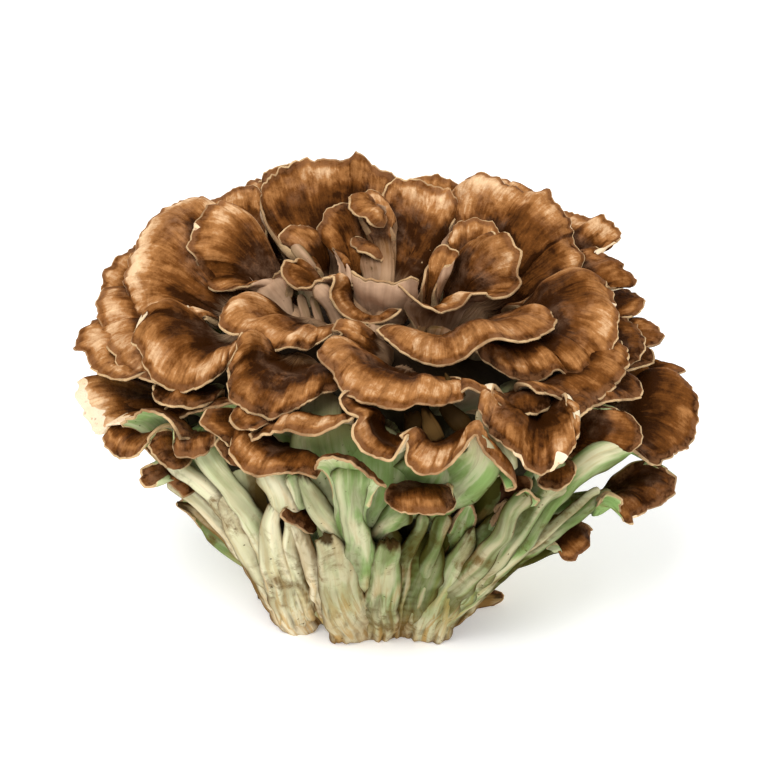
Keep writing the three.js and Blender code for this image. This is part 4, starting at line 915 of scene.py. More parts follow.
        shape = left.shape
        strand = np.broadcast_to((t - 0.5) * (0.4 * arc[-1] + 0.5 * plan.stalk[0]), shape)
        swayed = strand + self.sway * np.sin(travelled / self.sway_length)
        ridges = self.ridge * ripples.line(swayed, self.ridge_period) * (1 - smooth(*self.ridge_fade, s))
        upper = middle + normal * (half * (1 + ridges))[..., None]
        lower = middle - normal * (half * (1 - ridges))[..., None]
        # painted shade that a tone below -0.1 adds to the flesh
        tone_shade = 4.0 * max(0.0, -0.1 - plan.tone)
        values = {
            "along": np.broadcast_to(u[:, None], shape),
            "ray": np.broadcast_to(arc[None, :], shape),
            "strand": strand,
            "inset": to_lip,
            "rim": rim,
            "seed": own_number(seed, shape),
            "tone": np.full(shape, plan.tone),
            "torn": np.where(torn[None, :] > 0.2, torn[None, :] - to_lip, WHOLE),
            "green": smooth(GREEN_TOP, GREEN_TOP - 18.0, middle[..., 2]),
            # painted shade: deeper near the neck, and more for fronds whose tone is below -0.1
            "shade": np.broadcast_to(0.4 * smooth(0.5, 0.0, s) + tone_shade, shape),
            "brown": np.zeros(shape),
        }
        return closed(upper, lower, values)


@dataclass(frozen=True)
class StalkMaker:
    """Turns a stalk's line and widths into a closed, ridged skin.

    The skin runs over rows down the stalk and columns across it, closer at its sides. A column stands at
    an angle of 0 to pi: minus its cosine takes it across, and a half thickness of its sine makes an
    ellipse. Folds, fine strands and broad hollows are then laid on in shares of the thickness.

    top_rows and other_rows are the shares down it of the rows near its top and of the first and last of
    the rest. evenness is how much of a column's angle grows evenly across, narrowest the least width, and
    round_off how long the top's rounding is as a share of the width. A strand is pushed sideways by twist
    times a sine of the length down over twist_length, and a fold's phase by fold_bend in the same way.
    Between the heights of fibrous_height, fibres come to full strength from smoothest. folds_in,
    strands_in and broad_in are the shares of folds, strands and hollows in the relief, and under how
    much of it the underside has.
    """

    columns: int = 27
    spacing: float = 1.9
    ridge: float = 0.075
    wobble: float = 0.3
    wobble_period: float = 26.0
    swell: float = 0.05
    swell_period: float = 16.0
    twist: float = 1.6
    fold_wide: float = 3.4
    strand_period: float = 2.6
    broad_period: float = 8.0
    torn_height: float = 1.3
    torn_reach: float = 8.0
    torn_period: float = 3.2
    top_rows: Point = (0.0, 0.004, 0.014)
    other_rows: Point = (0.03, 0.985)
    evenness: float = 0.35
    narrowest: float = 0.8
    round_off: float = 0.35
    twist_length: float = 19.0
    fold_bend: float = 0.6
    fold_bend_length: float = 13.0
    fold_mean: float = 0.6
    fibrous_height: Point = (50.0, 18.0)
    smoothest: float = 0.35
    folds_in: float = 1.6
    strands_in: float = 0.5
    broad_in: float = 0.9
    under: float = 0.4

    def make(self, line: np.ndarray, widths: np.ndarray, facing: np.ndarray, plan: Stalk,
             seed: int) -> Patch:
        """Build one stalk.

        Args:
            line: points down its middle, in millimetres.
            widths: its width at each of them.
            facing: the way its broad side faces.
            plan: its other sizes and stains.
            seed: starts its own ripples.

        Returns:
            The closed skin with its values.
        """
        ripples = Ripples(seed)
        edge = Edge(np.column_stack((line, widths)))
        count = max(10, int(edge.length / self.spacing))
        rows = np.concatenate((self.top_rows, np.linspace(*self.other_rows, count), (1.0,)))
        found = edge.point(rows)
        middle, width = found[:, :3], np.maximum(found[:, 3], self.narrowest)
        down = rows * edge.length
        tangent = unit(np.gradient(middle, axis=0))
        across = unit(np.cross(tangent, facing))
        outward = np.cross(across, tangent)
        middle = middle + across * (self.wobble * ripples.line(down, self.wobble_period))[:, None]
        round_off = np.sqrt(1 - (1 - np.clip(down / (self.round_off * width + 0.4), 0.02, 1)) ** 2)
        width = (width * round_off * (1 + self.swell * ripples.line(down, self.swell_period)))[:, None]
        down = down[:, None]
        even = np.linspace(0.0, 1.0, self.columns)
        eased = 0.5 - 0.5 * np.cos(np.pi * even)
        turn = np.pi * (self.evenness * even + (1 - self.evenness) * eased)[None, :]
        side = -np.cos(turn) * width / 2
        strand = side + self.twist * np.sin(down / self.twist_length + seed)
        fold = np.pi * strand / (self.fold_wide + 0.05 * width.max())
        folds = np.abs(np.sin(fold + self.fold_bend * np.sin(down / self.fold_bend_length)))
        uneven = 0.8 * ripples.line(strand + 0.8 * np.sin(down / 9), self.strand_period)
        broad = ripples.sheet(side, down * 0.2, self.broad_period)
        thick = width * plan.thick
        half = np.sin(turn) * thick / 2
        grown = smooth(*self.fibrous_height, middle[:, 2])[:, None]
        fibrous = self.smoothest + (1 - self.smoothest) * grown
        fibres = self.folds_in * (folds - self.fold_mean) + self.strands_in * uneven
        folded = fibrous * fibres + self.broad_in * broad
        relief = thick * self.ridge * folded * np.sin(turn) ** 0.5
        half[0] = half[-1] = 0.0
        relief[0] = relief[-1] = 0.0
        base = middle[:, None] + across[:, None] * side[..., None]
        torn = self.torn_height * (plan.brown > 0) * ripples.line(strand, self.torn_period)
        base = base + tangent[:, None] * (torn * smooth(self.torn_reach, 1.0, down))[..., None]
        upper = base + outward[:, None] * (half + relief)[..., None]
        lower = base - outward[:, None] * (half - self.under * relief)[..., None]
        upper[..., 2] = np.maximum(upper[..., 2], 0.0)
        lower[..., 2] = np.maximum(lower[..., 2], 0.0)

        full = np.ones(side.shape)
        stout = min(1.0, 1.6 * plan.thick) ** 2
        turned_away = smooth(0.75, 0.1, np.sin(turn))
        jag = down + 1.8 * ripples.line(strand, 6.0) + 0.9 * ripples.line(strand, 1.9)
        values = {
            "along": 0 * full,
            "ray": strand,
            "strand": strand * 0.9,
            "inset": down * full,
            "rim": INWARD * full,
            "seed": own_number(seed, full.shape),
            "torn": WHOLE * full,
            "tone": 0 * full,
            # raised folds lose green and show cream: a painted highlight
            "green": plan.green * (1 - 0.55 * stout * smooth(0.1, 1.0, folded)),
            # painted shade: the stalk's own, more on the sides turned away and in the grooves
            "shade": plan.shade + 0.5 * turned_away + 0.4 * stout * smooth(0.1, -0.9, folded),
            # a torn brown top, then painted shade in the creases and along the sides
            "brown": np.maximum.reduce((
                smooth(plan.brown + 0.6, plan.brown * 0.5, jag) * (plan.brown > 0),
                # painted shade in the creases between the folds
                0.5 * fibrous * smooth(0.3, 0.0, folds) * smooth(0.1, 0.7, 0.5 + 0.5 * broad),
                # painted shade along the sides turned away
                0.5 * smooth(0.5, 0.05, np.sin(turn)) * full,
            )),
        }
        patch = closed(upper, lower, values)
        patch.values["upper"] = 0 * patch.values["upper"]
        return patch


# ------------------------------------------------------------------------------------ laying them out


def heart_half(z: np.ndarray) -> tuple[np.ndarray, np.ndarray]:
    """Return the heart's half widths along X and Y at a height."""
    return np.interp(z, HEART[:, 0], HEART[:, 1]), np.interp(z, HEART[:, 0], HEART[:, 2])


def sunk_in(point: np.ndarray) -> float:
    """Return how far a point lies inside the heart, roughly in millimetres; negative outside."""
    half_x, half_y = heart_half(point[2])
    across = (1 - math.hypot(point[0] / half_x, point[1] / half_y)) * min(half_x, half_y)
    return min(across, HEART[-1, 0] - point[2])


def root_below(neck: np.ndarray, sunk: float = 8.0) -> np.ndarray:
    """Return the end of a stalk that runs down and inwards until it is well inside the heart."""
    inward = np.array((-neck[0], -neck[1], 0.0))
    step = unit(inward / max(30.0, float(np.linalg.norm(inward))) - UP)
    root = neck + step * sunk
    while sunk_in(root) < sunk:
        root = root + step
    return root


def lay_front(plan: Frond) -> Layout:
    """Carry a frond of the front drawing out to its place."""
    lip = DRAWING.line(np.array(plan.lip, dtype=float), plan.depth)
    if plan.neck:
        neck = DRAWING.spot(plan.neck)
    else:
        centre = Edge(lip).middle()
        share = min(plan.reach / math.hypot(centre[0], centre[1]), 0.8)
        neck = centre - np.array((centre[0], centre[1], 0.0)) * share - UP * plan.fall
    root = DRAWING.spot(plan.root) if plan.root else root_below(neck)
    return Layout(plan, lip, neck, root, True)


def lay_back(tier: BackTier, index: int, draws: Draws) -> Layout:
    """Lay out one back frond.

    Its neck lies inside the head, and its lip is an arc about the neck that reaches 72 to 84 degrees to
    each side, with waves in its reach and its droop. Its sizes vary with seeded draws.
    """
    share = index / (tier.count - 1)
    angle = math.radians(tier.first + (tier.last - tier.first) * share + (draws.next() - 0.5) * 10)
    higher = -5 if index % 2 else 5
    outward = np.array((math.sin(angle), math.cos(angle), 0.0))
    sideways = np.array((math.cos(angle), -math.sin(angle), 0.0))
    length = tier.length * (0.84 + 0.32 * draws.next())
    rising = math.radians(tier.rise + (draws.next() - 0.5) * 14)
    along = outward * math.cos(rising) + UP * math.sin(rising)
    height = tier.lip + higher + (draws.next() - 0.5) * 8
    tip = outward * np.array((*HEAD_HALF, 0.0)) * tier.out + UP * height
    neck = tip - along * length
    half = math.radians(72 + 12 * draws.next())
    waves = 2 + math.floor(draws.next() * 3)
    phase = draws.next() * 2 * math.pi
    turn = np.linspace(-half, half, 11)[:, None]
    far = length * (1 + 0.07 * np.sin(waves * 2 * turn + phase))
    droop = 5 * (1 - np.cos(turn)) + 2.2 * np.sin(waves * 3 * turn + phase)
    lip = (
        neck
        + along * far * (0.42 + 0.58 * np.cos(turn))
        + sideways * (far / length) * tier.wide * np.sin(turn)
        - UP * droop
    )
    if tier.low:
        root = outward * np.array((*FOOT_HALF, 0.0)) + UP * (14 + 8 * draws.next())
    else:
        root = root_below(neck)
    return Layout(Frond("back", hump=6 + 4 * draws.next()), lip, neck, root)


# ------------------------------------------------------------------------------------------- finishes


def colour(red: float, green: float, blue: float) -> tuple[float, float, float, float]:
    """Return a screen colour, 0 to 255 a channel, as the linear colour that a shader takes."""
    share = np.array((red, green, blue)) / 255.0
    linear = np.where(share <= 0.04045, share / 12.92, ((share + 0.055) / 1.055) ** 2.4)
    return (float(linear[0]), float(linear[1]), float(linear[2]), 1.0)


class Value:
    """The output of a shader node, which adds and multiplies as a number does."""

    def __init__(self, graph: "Graph", socket: bpy.types.NodeSocket) -> None:
        """Keep the graph that it belongs to and its socket."""
        self.graph = graph
        self.socket = socket

    def __add__(self, other: "Value | float") -> "Value":
        """Return the sum."""
        return self.graph.maths("ADD", self, other)

    def __mul__(self, other: "Value | float") -> "Value":
        """Return the product."""
        return self.graph.maths("MULTIPLY", self, other)

    def step(self, low: "Value | float", high: "Value | float") -> "Value":
        """Return 0 where this is at low, 1 at high and a smooth step between them."""
        node = self.graph.nodes.new("ShaderNodeMapRange")
        node.interpolation_type = "SMOOTHSTEP"
        return self.graph.fill(node, (0, 1, 2), (self, low, high))


@dataclass(frozen=True)
class Noise:
    """Cloudy noise: its scale, detail, roughness and how far it is distorted.

    The scale is in waves a metre over a place on the object. A stretch replaces it for noise that
    follows the fibres: it is the number of waves a millimetre across them and along them.
    """

    scale: float = 1.0
    detail: float = 4.0
    rough: float = 0.55
    distort: float = 0.0
    stretch: Point = (1.0, 1.0)


class Graph:
    """A short way to write a material's nodes."""

    def __init__(self, name: str) -> None:
        """Make an empty material with an output and one principled shader."""
        self.material = bpy.data.materials.new(name)
        self.material.use_nodes = True
        self.nodes = self.material.node_tree.nodes
        self.links = self.material.node_tree.links
        self.nodes.clear()
        output = self.nodes.new("ShaderNodeOutputMaterial")
        self.shader = self.nodes.new("ShaderNodeBsdfPrincipled")
        self.links.new(self.shader.outputs[0], output.inputs[0])

    def put(self, socket: bpy.types.NodeSocket, value: Value | Point | float) -> None:
        """Set an input: a value is linked, a screen colour is made linear, and a number is stored."""
        if isinstance(value, Value):
            self.links.new(value.socket, socket)
        else:
            socket.default_value = colour(*value) if isinstance(value, tuple) else value

    def fill(self, node: bpy.types.ShaderNode, places: tuple[int, ...], values: tuple,
             out: int = 0) -> Value:
        """Set a node's inputs at the numbered places and return its output."""
        for place, value in zip(places, values):
            self.put(node.inputs[place], value)
        return Value(self, node.outputs[out])

    def value(self, name: str) -> Value:
        """Return a named value of the mesh's corners."""
        node = self.nodes.new("ShaderNodeAttribute")
        node.attribute_name = name
        return Value(self, node.outputs["Fac"])

    def place(self) -> Value:
        """Return the place on the object, in metres."""
        return Value(self, self.nodes.new("ShaderNodeTexCoord").outputs["Object"])

    def split(self, vector: Value) -> tuple[Value, Value, Value]:
        """Return a vector's three values."""
        node = self.nodes.new("ShaderNodeSeparateXYZ")
        self.put(node.inputs[0], vector)
        return Value(self, node.outputs[0]), Value(self, node.outputs[1]), Value(self, node.outputs[2])

    def maths(self, operation: str, *values: Value | float) -> Value:
        """Return the result of a maths node over up to three values."""
        node = self.nodes.new("ShaderNodeMath")
        node.operation = operation
        return self.fill(node, (0, 1, 2), values)

    def noise(self, kind: Noise, vector: Value) -> Value:
        """Return noise, 0 to 1, over a vector."""
        node = self.nodes.new("ShaderNodeTexNoise")
        self.put(node.inputs["Vector"], vector)
        settings = {"Scale": kind.scale, "Detail": kind.detail, "Roughness": kind.rough,
                    "Distortion": kind.distort}
        for name, number in settings.items():
            node.inputs[name].default_value = number
        return Value(self, node.outputs[0])

    def fibres(self, kind: Noise, across: Value, along: Value, seed: Value) -> Value:
        """Return noise stretched along the fibres, another for each seed; places in millimetres."""
        node = self.nodes.new("ShaderNodeCombineXYZ")
        wide, long = kind.stretch
        return self.noise(kind, self.fill(node, (0, 1, 2), (across * wide, along * long, seed)))

    def mix(self, share: Value | float, first: Value | Point, second: Value | Point) -> Value:
        """Return two colours mixed by a share."""
        node = self.nodes.new("ShaderNodeMix")
        node.data_type = "RGBA"
        return self.fill(node, (0, 6, 7), (share, first, second), 2)

    def between(self, share: Value, first: Value, second: Value) -> Value:
        """Return two numbers mixed by a share."""
        return self.fill(self.nodes.new("ShaderNodeMix"), (0, 2, 3), (share, first, second))

    def ramp(self, value: Value, stops: tuple[tuple[float, Point], ...]) -> Value:
        """Return a colour looked up from stops, each a place and a screen colour."""
        node = self.nodes.new("ShaderNodeValToRGB")
        ramp = node.color_ramp
        while len(ramp.elements) < len(stops):
            ramp.elements.new(0.5)
        for element, (place, shade) in zip(ramp.elements, stops):
            element.position = place
            element.color = colour(*shade)
        return self.fill(node, (0,), (value,))

    def finish(self, base: Value, rough: Value | float, gloss: float, relief: Value,
               height: float) -> None:
        """Link the shader.

        Args:
            base: its colour.
            rough: its roughness.
            gloss: its level of mirror reflection.
            relief: the height of the surface, 0 to 1.
            height: the relief of 1, in metres.
        """
        self.put(self.shader.inputs["Base Color"], base)
        self.put(self.shader.inputs["Roughness"], rough)
        self.shader.inputs["Specular IOR Level"].default_value = gloss
        node = self.nodes.new("ShaderNodeBump")
        node.inputs["Strength"].default_value = 1.0
        node.inputs["Distance"].default_value = height
        self.put(node.inputs["Height"], relief)
        self.links.new(node.outputs[0], self.shader.inputs["Normal"])


@dataclass(frozen=True)
class Flesh:
    """The bare flesh on stalks and undersides: cream, with a green cast, stains, specks and painted shade.

    Colours are screen colours. Each pair of numbers is where a smooth step starts and ends, and each
    single number is how much of a colour the step lays on. Heights and radii are in metres.
    """

    cream: Point = (240, 230, 198)
    green: Point = (136, 166, 98)
    deep_green: Point = (84, 86, 32)
    olive_shade: Point = (62, 60, 18)
    rose: Point = (204, 168, 138)
    dusk: Point = (106, 70, 44)
    umber_shade: Point = (138, 104, 58)
    ochre: Point = (204, 160, 86)
    stain: Point = (104, 74, 30)
    speck: Point = (56, 38, 14)

    fine: Noise = Noise(1.0, 5.0, 0.6, 0.4, stretch=(0.7, 0.045))
    broad: Noise = Noise(1.0, 4.0, 0.55, 0.6, stretch=(0.24, 0.03))
    cloud: Noise = Noise(34.0)
    patches: Noise = Noise(62.0, 5.0, 0.68, 0.5)
    specks: Noise = Noise(400.0, 2.0)
    pores: Noise = Noise(500.0, 3.0)

    seed_spread: float = 37.0
    low: Point = (0.055, 0.02)
    green_height: Point = (-0.02, 0.035)
    greener: Point = (0.38, 0.60)
    least_green: float = 0.42
    duller: Point = (0.50, 0.34)
    dull: float = 0.45
    line: Point = (0.54, 0.34)
    crown_height: Point = (0.104, 0.124)
    crown_radius: Point = (0.080, 0.055)
    crown_fibre: Point = (0.62, 0.34)
    crown_cloud: Point = (0.35, 0.65)
    crown_plain: float = 0.8
    crown_rose: float = 0.45
    ochre_patch: Point = (0.50, 0.66)
    ochre_height: Point = (0.06, 0.0)
    ochred: float = 0.75
    stain_patch: Point = (0.50, 0.68)
    stain_height: Point = (0.100, 0.070)
    stain_fibre: Point = (0.24, 0.56)
    stained: float = 0.9
    speck_peak: Point = (0.69, 0.75)
    specked: float = 0.8
    shaded: float = 0.9
    browned: float = 0.97

    def paint(self, g: Graph, strand: Value, way: Value) -> tuple[Value, Value]:
        """Mix the flesh.

        Args:
            g: the material's graph.
            strand: the place across the fibres, in millimetres.
            way: the place along them, in millimetres.

        Returns:
            Its colour, and its height for the bump, 0 to 1.
        """
        place = g.place()
        x, y, z = g.split(place)
        seed = g.value("seed") * self.seed_spread
        fine = g.fibres(self.fine, strand, way, seed)
        broad = g.fibres(self.broad, strand, way, seed)
        cloud = g.noise(self.cloud, place)
        low = z.step(*self.low)
        tone = broad * 0.62 + cloud * 0.43

        greenness = g.value("green") * z.step(*self.green_height)
        green = (tone.step(*self.greener) * (1 - self.least_green) + self.least_green) * greenness
        base = g.mix(green, self.cream, self.green)
        dark = g.mix(greenness, self.ochre, self.deep_green)
        base = g.mix(tone.step(*self.duller) * self.dull, base, dark)
        base = g.mix(fine.step(*self.line) * (low * 0.45 + 0.28), base, dark)

        axis = g.maths("SQRT", g.maths("POWER", x, 2.0) + g.maths("POWER", y, 2.0))
        high = z.step(*self.crown_height)
        rosy = g.mix(fine.step(*self.crown_fibre), self.rose, self.dusk)
        plain = g.mix(cloud.step(*self.crown_cloud), self.dusk, self.rose)
        base = g.mix(high * axis.step(*self.crown_radius), base, g.mix(self.crown_plain, rosy, plain))
        base = g.mix(high * axis.step(*self.crown_radius[::-1]) * self.crown_rose, base, self.rose)

        ochre = broad.step(*self.ochre_patch) * z.step(*self.ochre_height)
        base = g.mix(ochre * self.ochred, base, self.ochre)
        stain = g.noise(self.patches, place).step(*self.stain_patch) * z.step(*self.stain_height)
        base = g.mix(stain * fine.step(*self.stain_fibre) * self.stained, base, self.stain)
        base = g.mix(g.noise(self.specks, place).step(*self.speck_peak) * self.specked, base, self.speck)
        # painted shade: the shade value darkens the flesh towards a dark brown, or a dark green-brown where
        # it is green
        shade = g.value("shade") * (cloud + 0.4)
        base = g.mix(shade * self.shaded, base, g.mix(greenness, self.umber_shade, self.olive_shade))
        # the brown value: torn brown tops, and painted shade in creases and along the sides of stalks
        base = g.mix(g.value("brown") * self.browned, base, self.speck)
        return base, fine * (low * 0.7 + 0.15) + g.noise(self.pores, place) * 0.15


@dataclass(frozen=True)
class CapSkin:
    """The finish of a frond: brown fibres on the upper face, a thin pale lip, and flesh below.

    A tone from weighted noises looks the skin's colour up between deep and straw. Pairs are where a smooth
    step starts and ends: those of the rim in millimetres from the lip, and those of along in frond
    lengths, 1 at the neck and 2 at the lip. rim_highlight lightens the tone in a band behind the lip, a
    painted highlight, and inner_shade and neck_shade darken it farther in and near the neck, painted
    shade; dusty and banded are how much bloom and margin show.
    """

    name: str = "cap_skin"
    deep: Point = (50, 24, 4)
    brown: Point = (106, 62, 24)
    tan: Point = (164, 112, 64)
    straw: Point = (238, 200, 156)
    bloom: Point = (156, 120, 94)
    margin: Point = (126, 84, 52)
    lip: Point = (228, 194, 146)
    white: Point = (244, 218, 188)
    cream: Point = (232, 202, 162)

    fibre: Noise = Noise(1.0, 5.0, 0.6, 0.35, stretch=(0.8, 0.11))
    sweep: Noise = Noise(1.0, 3.0, 0.5, 0.5, stretch=(0.16, 0.06))
    cloud: Noise = Noise(40.0, 6.0, 0.58, 0.3)
    mottle: Noise = Noise(260.0, 4.0, 0.65)
    grain: Noise = Noise(1300.0, 2.0, 0.6)
    dust: Noise = Noise(60.0)
    edge: Noise = Noise(260.0, 3.0)
    lip_patches: Noise = Noise(55.0, 3.0)
    tear: Noise = Noise(190.0, 3.0)

    seed_spread: float = 53.0
    tone_start: float = -0.225
    tone_weights: Point = (0.24, 0.26, 0.54, 0.22, 0.06)
    tone_stops: Point = (0.28, 0.43, 0.56, 0.72)
    highlight_rim: tuple[Point, Point] = ((2.0, 5.0), (17.0, 7.0))
    rim_highlight: float = 0.13
    inner_rim: Point = (8.0, 30.0)
    inner_shade: float = -0.10
    neck_along: Point = (1.7, 1.15)
    neck_shade: float = -0.12
    dust_peak: Point = (0.46, 0.70)
    dusty: float = 0.32
    band_rim: Point = (4.2, 2.2)
    banded: float = 0.65
    skin_neck: Point = (1.08, 1.4)
    skin_side: Point = (0.30, 0.55)
    skin_rim: Point = (1.6, 1.2)
    lip_reach: float = 1.15
    lip_fade: float = 0.5
    edge_wander: float = 1.3
    tear_wander: float = 1.6
    tear_step: Point = (0.7, 0.95)
    rough: float = 0.52
    rough_spread: float = 0.2
    gloss: float = 0.03
    relief: float = 0.0008

    def material(self) -> bpy.types.Material:
        """Build the material from the mesh's own values."""
        g = Graph(self.name)
        ray, inset = g.value("ray"), g.value("inset")
        rim, along, upper = g.value("rim"), g.value("along"), g.value("upper")
        seed = g.value("seed") * self.seed_spread
        place = g.place()
        fibre = g.fibres(self.fibre, ray, inset, seed)
        sweep = g.fibres(self.sweep, ray, inset, seed)
        cloud, mottle, grain = (g.noise(kind, place) for kind in (self.cloud, self.mottle, self.grain))

        tone = g.value("tone") + self.tone_start
        for noise, weight in zip((fibre, sweep, cloud, mottle, grain), self.tone_weights):
            tone = tone + noise * weight
        # painted highlight in a band behind the lip
        near, far = self.highlight_rim
        tone = tone + rim.step(*near) * rim.step(*far) * self.rim_highlight
        # painted shade farther in from the lip and near the neck
        tone = tone + rim.step(*self.inner_rim) * self.inner_shade
        tone = tone + along.step(*self.neck_along) * self.neck_shade
        cap = g.ramp(tone, tuple(zip(self.tone_stops, (self.deep, self.brown, self.tan, self.straw))))
        dusty = g.noise(self.dust, place).step(*self.dust_peak) * mottle.step(0.3, 0.7)
        cap = g.mix(dusty * self.dusty, cap, self.bloom)
        band = rim.step(*self.band_rim) * mottle.step(0.36, 0.58)
        cap = g.mix(band * self.banded, cap, self.margin)

        flesh, fleshy = Flesh().paint(g, g.value("strand"), inset)
        ragged_rim = rim + g.noise(self.edge, place) * self.edge_wander
        neck = (along + fibre * 0.35).step(*self.skin_neck)
        on_top = g.maths("MAXIMUM", upper.step(*self.skin_side), ragged_rim.step(*self.skin_rim)) * neck
        shown = g.mix(on_top, flesh, cap)

        reach = upper.step(0.6, 0.3) * 0.5 + self.lip_reach
        pale = ragged_rim.step(reach + self.lip_fade, reach)
        paleness = g.noise(self.lip_patches, place).step(0.36, 0.64) * 0.5 + 0.22
        shown = g.mix(pale * paleness, shown, self.lip)
        flaw = g.mix(cloud.step(0.58, 0.42), self.white, self.cream)
        flaw = g.mix(mottle.step(0.58, 0.68) * 0.7, flaw, self.bloom)
        ragged = g.noise(self.tear, place) * self.tear_wander + g.value("torn")
        shown = g.mix(ragged.step(*self.tear_step), shown, flaw)

        relief = g.between(on_top, fleshy, mottle * 0.6 + grain * 0.5)
        g.finish(shown, cloud * self.rough_spread + self.rough, self.gloss, relief, self.relief)
        return g.material


@dataclass(frozen=True)
class FootSkin:
    """The finish of the foot: bare flesh with lengthwise fibres, with painted shade in the hollows between
    its flutes and nearly black painted shade high up, where it shows among the stalks.
    """

    name: str = "foot_flesh"
    fold: Point = (52, 44, 14)
    gap_shade: Point = (34, 20, 6)
    hollow: Point = (0.45, 0.0)
    folded: float = 0.6
    gap_height: Point = (14.0, 34.0)
    gap_shaded: float = 0.92
    rough: float = 0.75
    gloss: float = 0.1
    relief: float = 0.0011

    def material(self) -> bpy.types.Material:
        """Build the material from the mesh's own values; heights in millimetres."""
        g = Graph(self.name)
        flesh, relief = Flesh().paint(g, g.value("strand"), g.value("inset"))
        # painted shade in the hollows between the flutes
        shown = g.mix(g.value("rim").step(*self.hollow) * self.folded, flesh, self.fold)
        # nearly black painted shade over the foot's upper part, where it shows between the stalks
        shown = g.mix(g.value("inset").step(*self.gap_height) * self.gap_shaded, shown, self.gap_shade)
        g.finish(shown, self.rough, self.gloss, relief, self.relief)
        return g.material


# --------------------------------------------------------------------------------------------- pieces


@dataclass
class Piece:
    """A piece in the making: its name, the record's material slot and its skins."""

    name: str
    slot: str
    patches: list[Patch]


def store(made: Piece, material: bpy.types.Material) -> None:
    """Store a piece's skins as one mesh object, attach it to the body and hide the imported part.

    Args:
        made: the piece's name and skins, in millimetres; its slot is not used.
        material: its finish.
    """
    patches = made.patches
    starts = np.cumsum([0] + [len(p.corners) for p in patches[:-1]])
    corners = np.concatenate([p.corners for p in patches]) * METRE
    faces = np.concatenate([p.faces + start for p, start in zip(patches, starts)])
    triangles = np.concatenate([p.triangles + start for p, start in zip(patches, starts)])
    mesh = bpy.data.meshes.new(made.name)
    mesh.from_pydata(corners, [], faces.tolist() + triangles.tolist() if len(triangles) else faces)
    for key in patches[0].values:
        layer = mesh.attributes.new(key, "FLOAT", "POINT")
        layer.data.foreach_set("value", np.concatenate([p.values[key] for p in patches]).astype(np.float32))
    mesh.polygons.foreach_set("use_smooth", np.ones(len(mesh.polygons), dtype=bool))
    mesh.materials.append(material)
    mesh.update()
    piece = bpy.data.objects.new(made.name, mesh)
    bpy.context.scene.collection.objects.link(piece)
    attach(piece, BODY)
    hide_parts(NODE)
    LOG.info("%s: %d skins, %d faces", made.name, len(patches), len(mesh.polygons))


@dataclass
class FrondGroup:
    """Fronds that grow together on one side of the cluster, stored as one piece."""

    name: str
    layouts: list[Layout]
    maker: FrondMaker
    first_seed: int

    def piece(self) -> Piece:
        """Make every frond of the group."""
        patches = []
        for i, laid in enumerate(self.layouts):
            LOG.debug("%s: %s", self.name, laid.plan.name)
            patches.append(self.maker.make(laid, self.first_seed + i))
        return Piece(self.name, CAP_SLOT, patches)


def corner_normals(patch: Patch) -> np.ndarray:
    """Return the way each corner faces: the sum of the cross products of its faces' diagonals."""
    a, b, c, d = (patch.corners[patch.faces[:, i]] for i in range(4))
    across = np.cross(c - a, d - b)
    total = np.zeros_like(patch.corners)
    for i in range(4):
        np.add.at(total, patch.faces[:, i], across)
    return unit(total)


@dataclass(frozen=True)
class CrowdedShade:
    """Paints shade on the fronds and stalks: darker where the space in front of them is crowded.

    Space is cut into cubes; a cube with a corner in it holds one, and then twice the mean of itself and
    its 26 neighbours. The crowding is a smooth step of the mean of what is held at a few distances out
    from a corner, the way it faces. cube and outs are in millimetres, and darker and added_shade are the
    painted shade that crowding takes from the tone and adds to the shade, with crowded the step's start
    and end.
    """

    cube: float = 3.0
    outs: Point = (7.0, 12.0, 18.0)
    crowded: Point = (0.02, 0.17)
    darker: float = 0.16
    added_shade: float = 0.08

    def darken(self, patches: list[Patch]) -> None:
        """Change the tone and the shade of all the skins."""
        corners = np.concatenate([p.corners for p in patches])
        facing = np.concatenate([corner_normals(p) for p in patches])
        low = corners.min(0) - 8 * self.cube
        cells = ((corners - low) / self.cube).astype(int)
        held = np.zeros(cells.max(0) + 9)
        held[tuple(cells.T)] = 1.0
        for axis in (0, 1, 2, 0, 1, 2):
            held = (np.roll(held, 1, axis) + held + np.roll(held, -1, axis)) / 3
        ahead = [((corners + facing * out - low) / self.cube).astype(int) for out in self.outs]
        crowding = smooth(*self.crowded, sum(held[tuple(place.T)] for place in ahead) / len(self.outs))
        # painted shade: the tone is darkened and the shade deepened at crowded corners
        for patch, here in zip(patches, split_back(patches, crowding)):
            patch.values["tone"] = patch.values["tone"] - self.darker * here
            patch.values["shade"] = patch.values["shade"] + self.added_shade * here


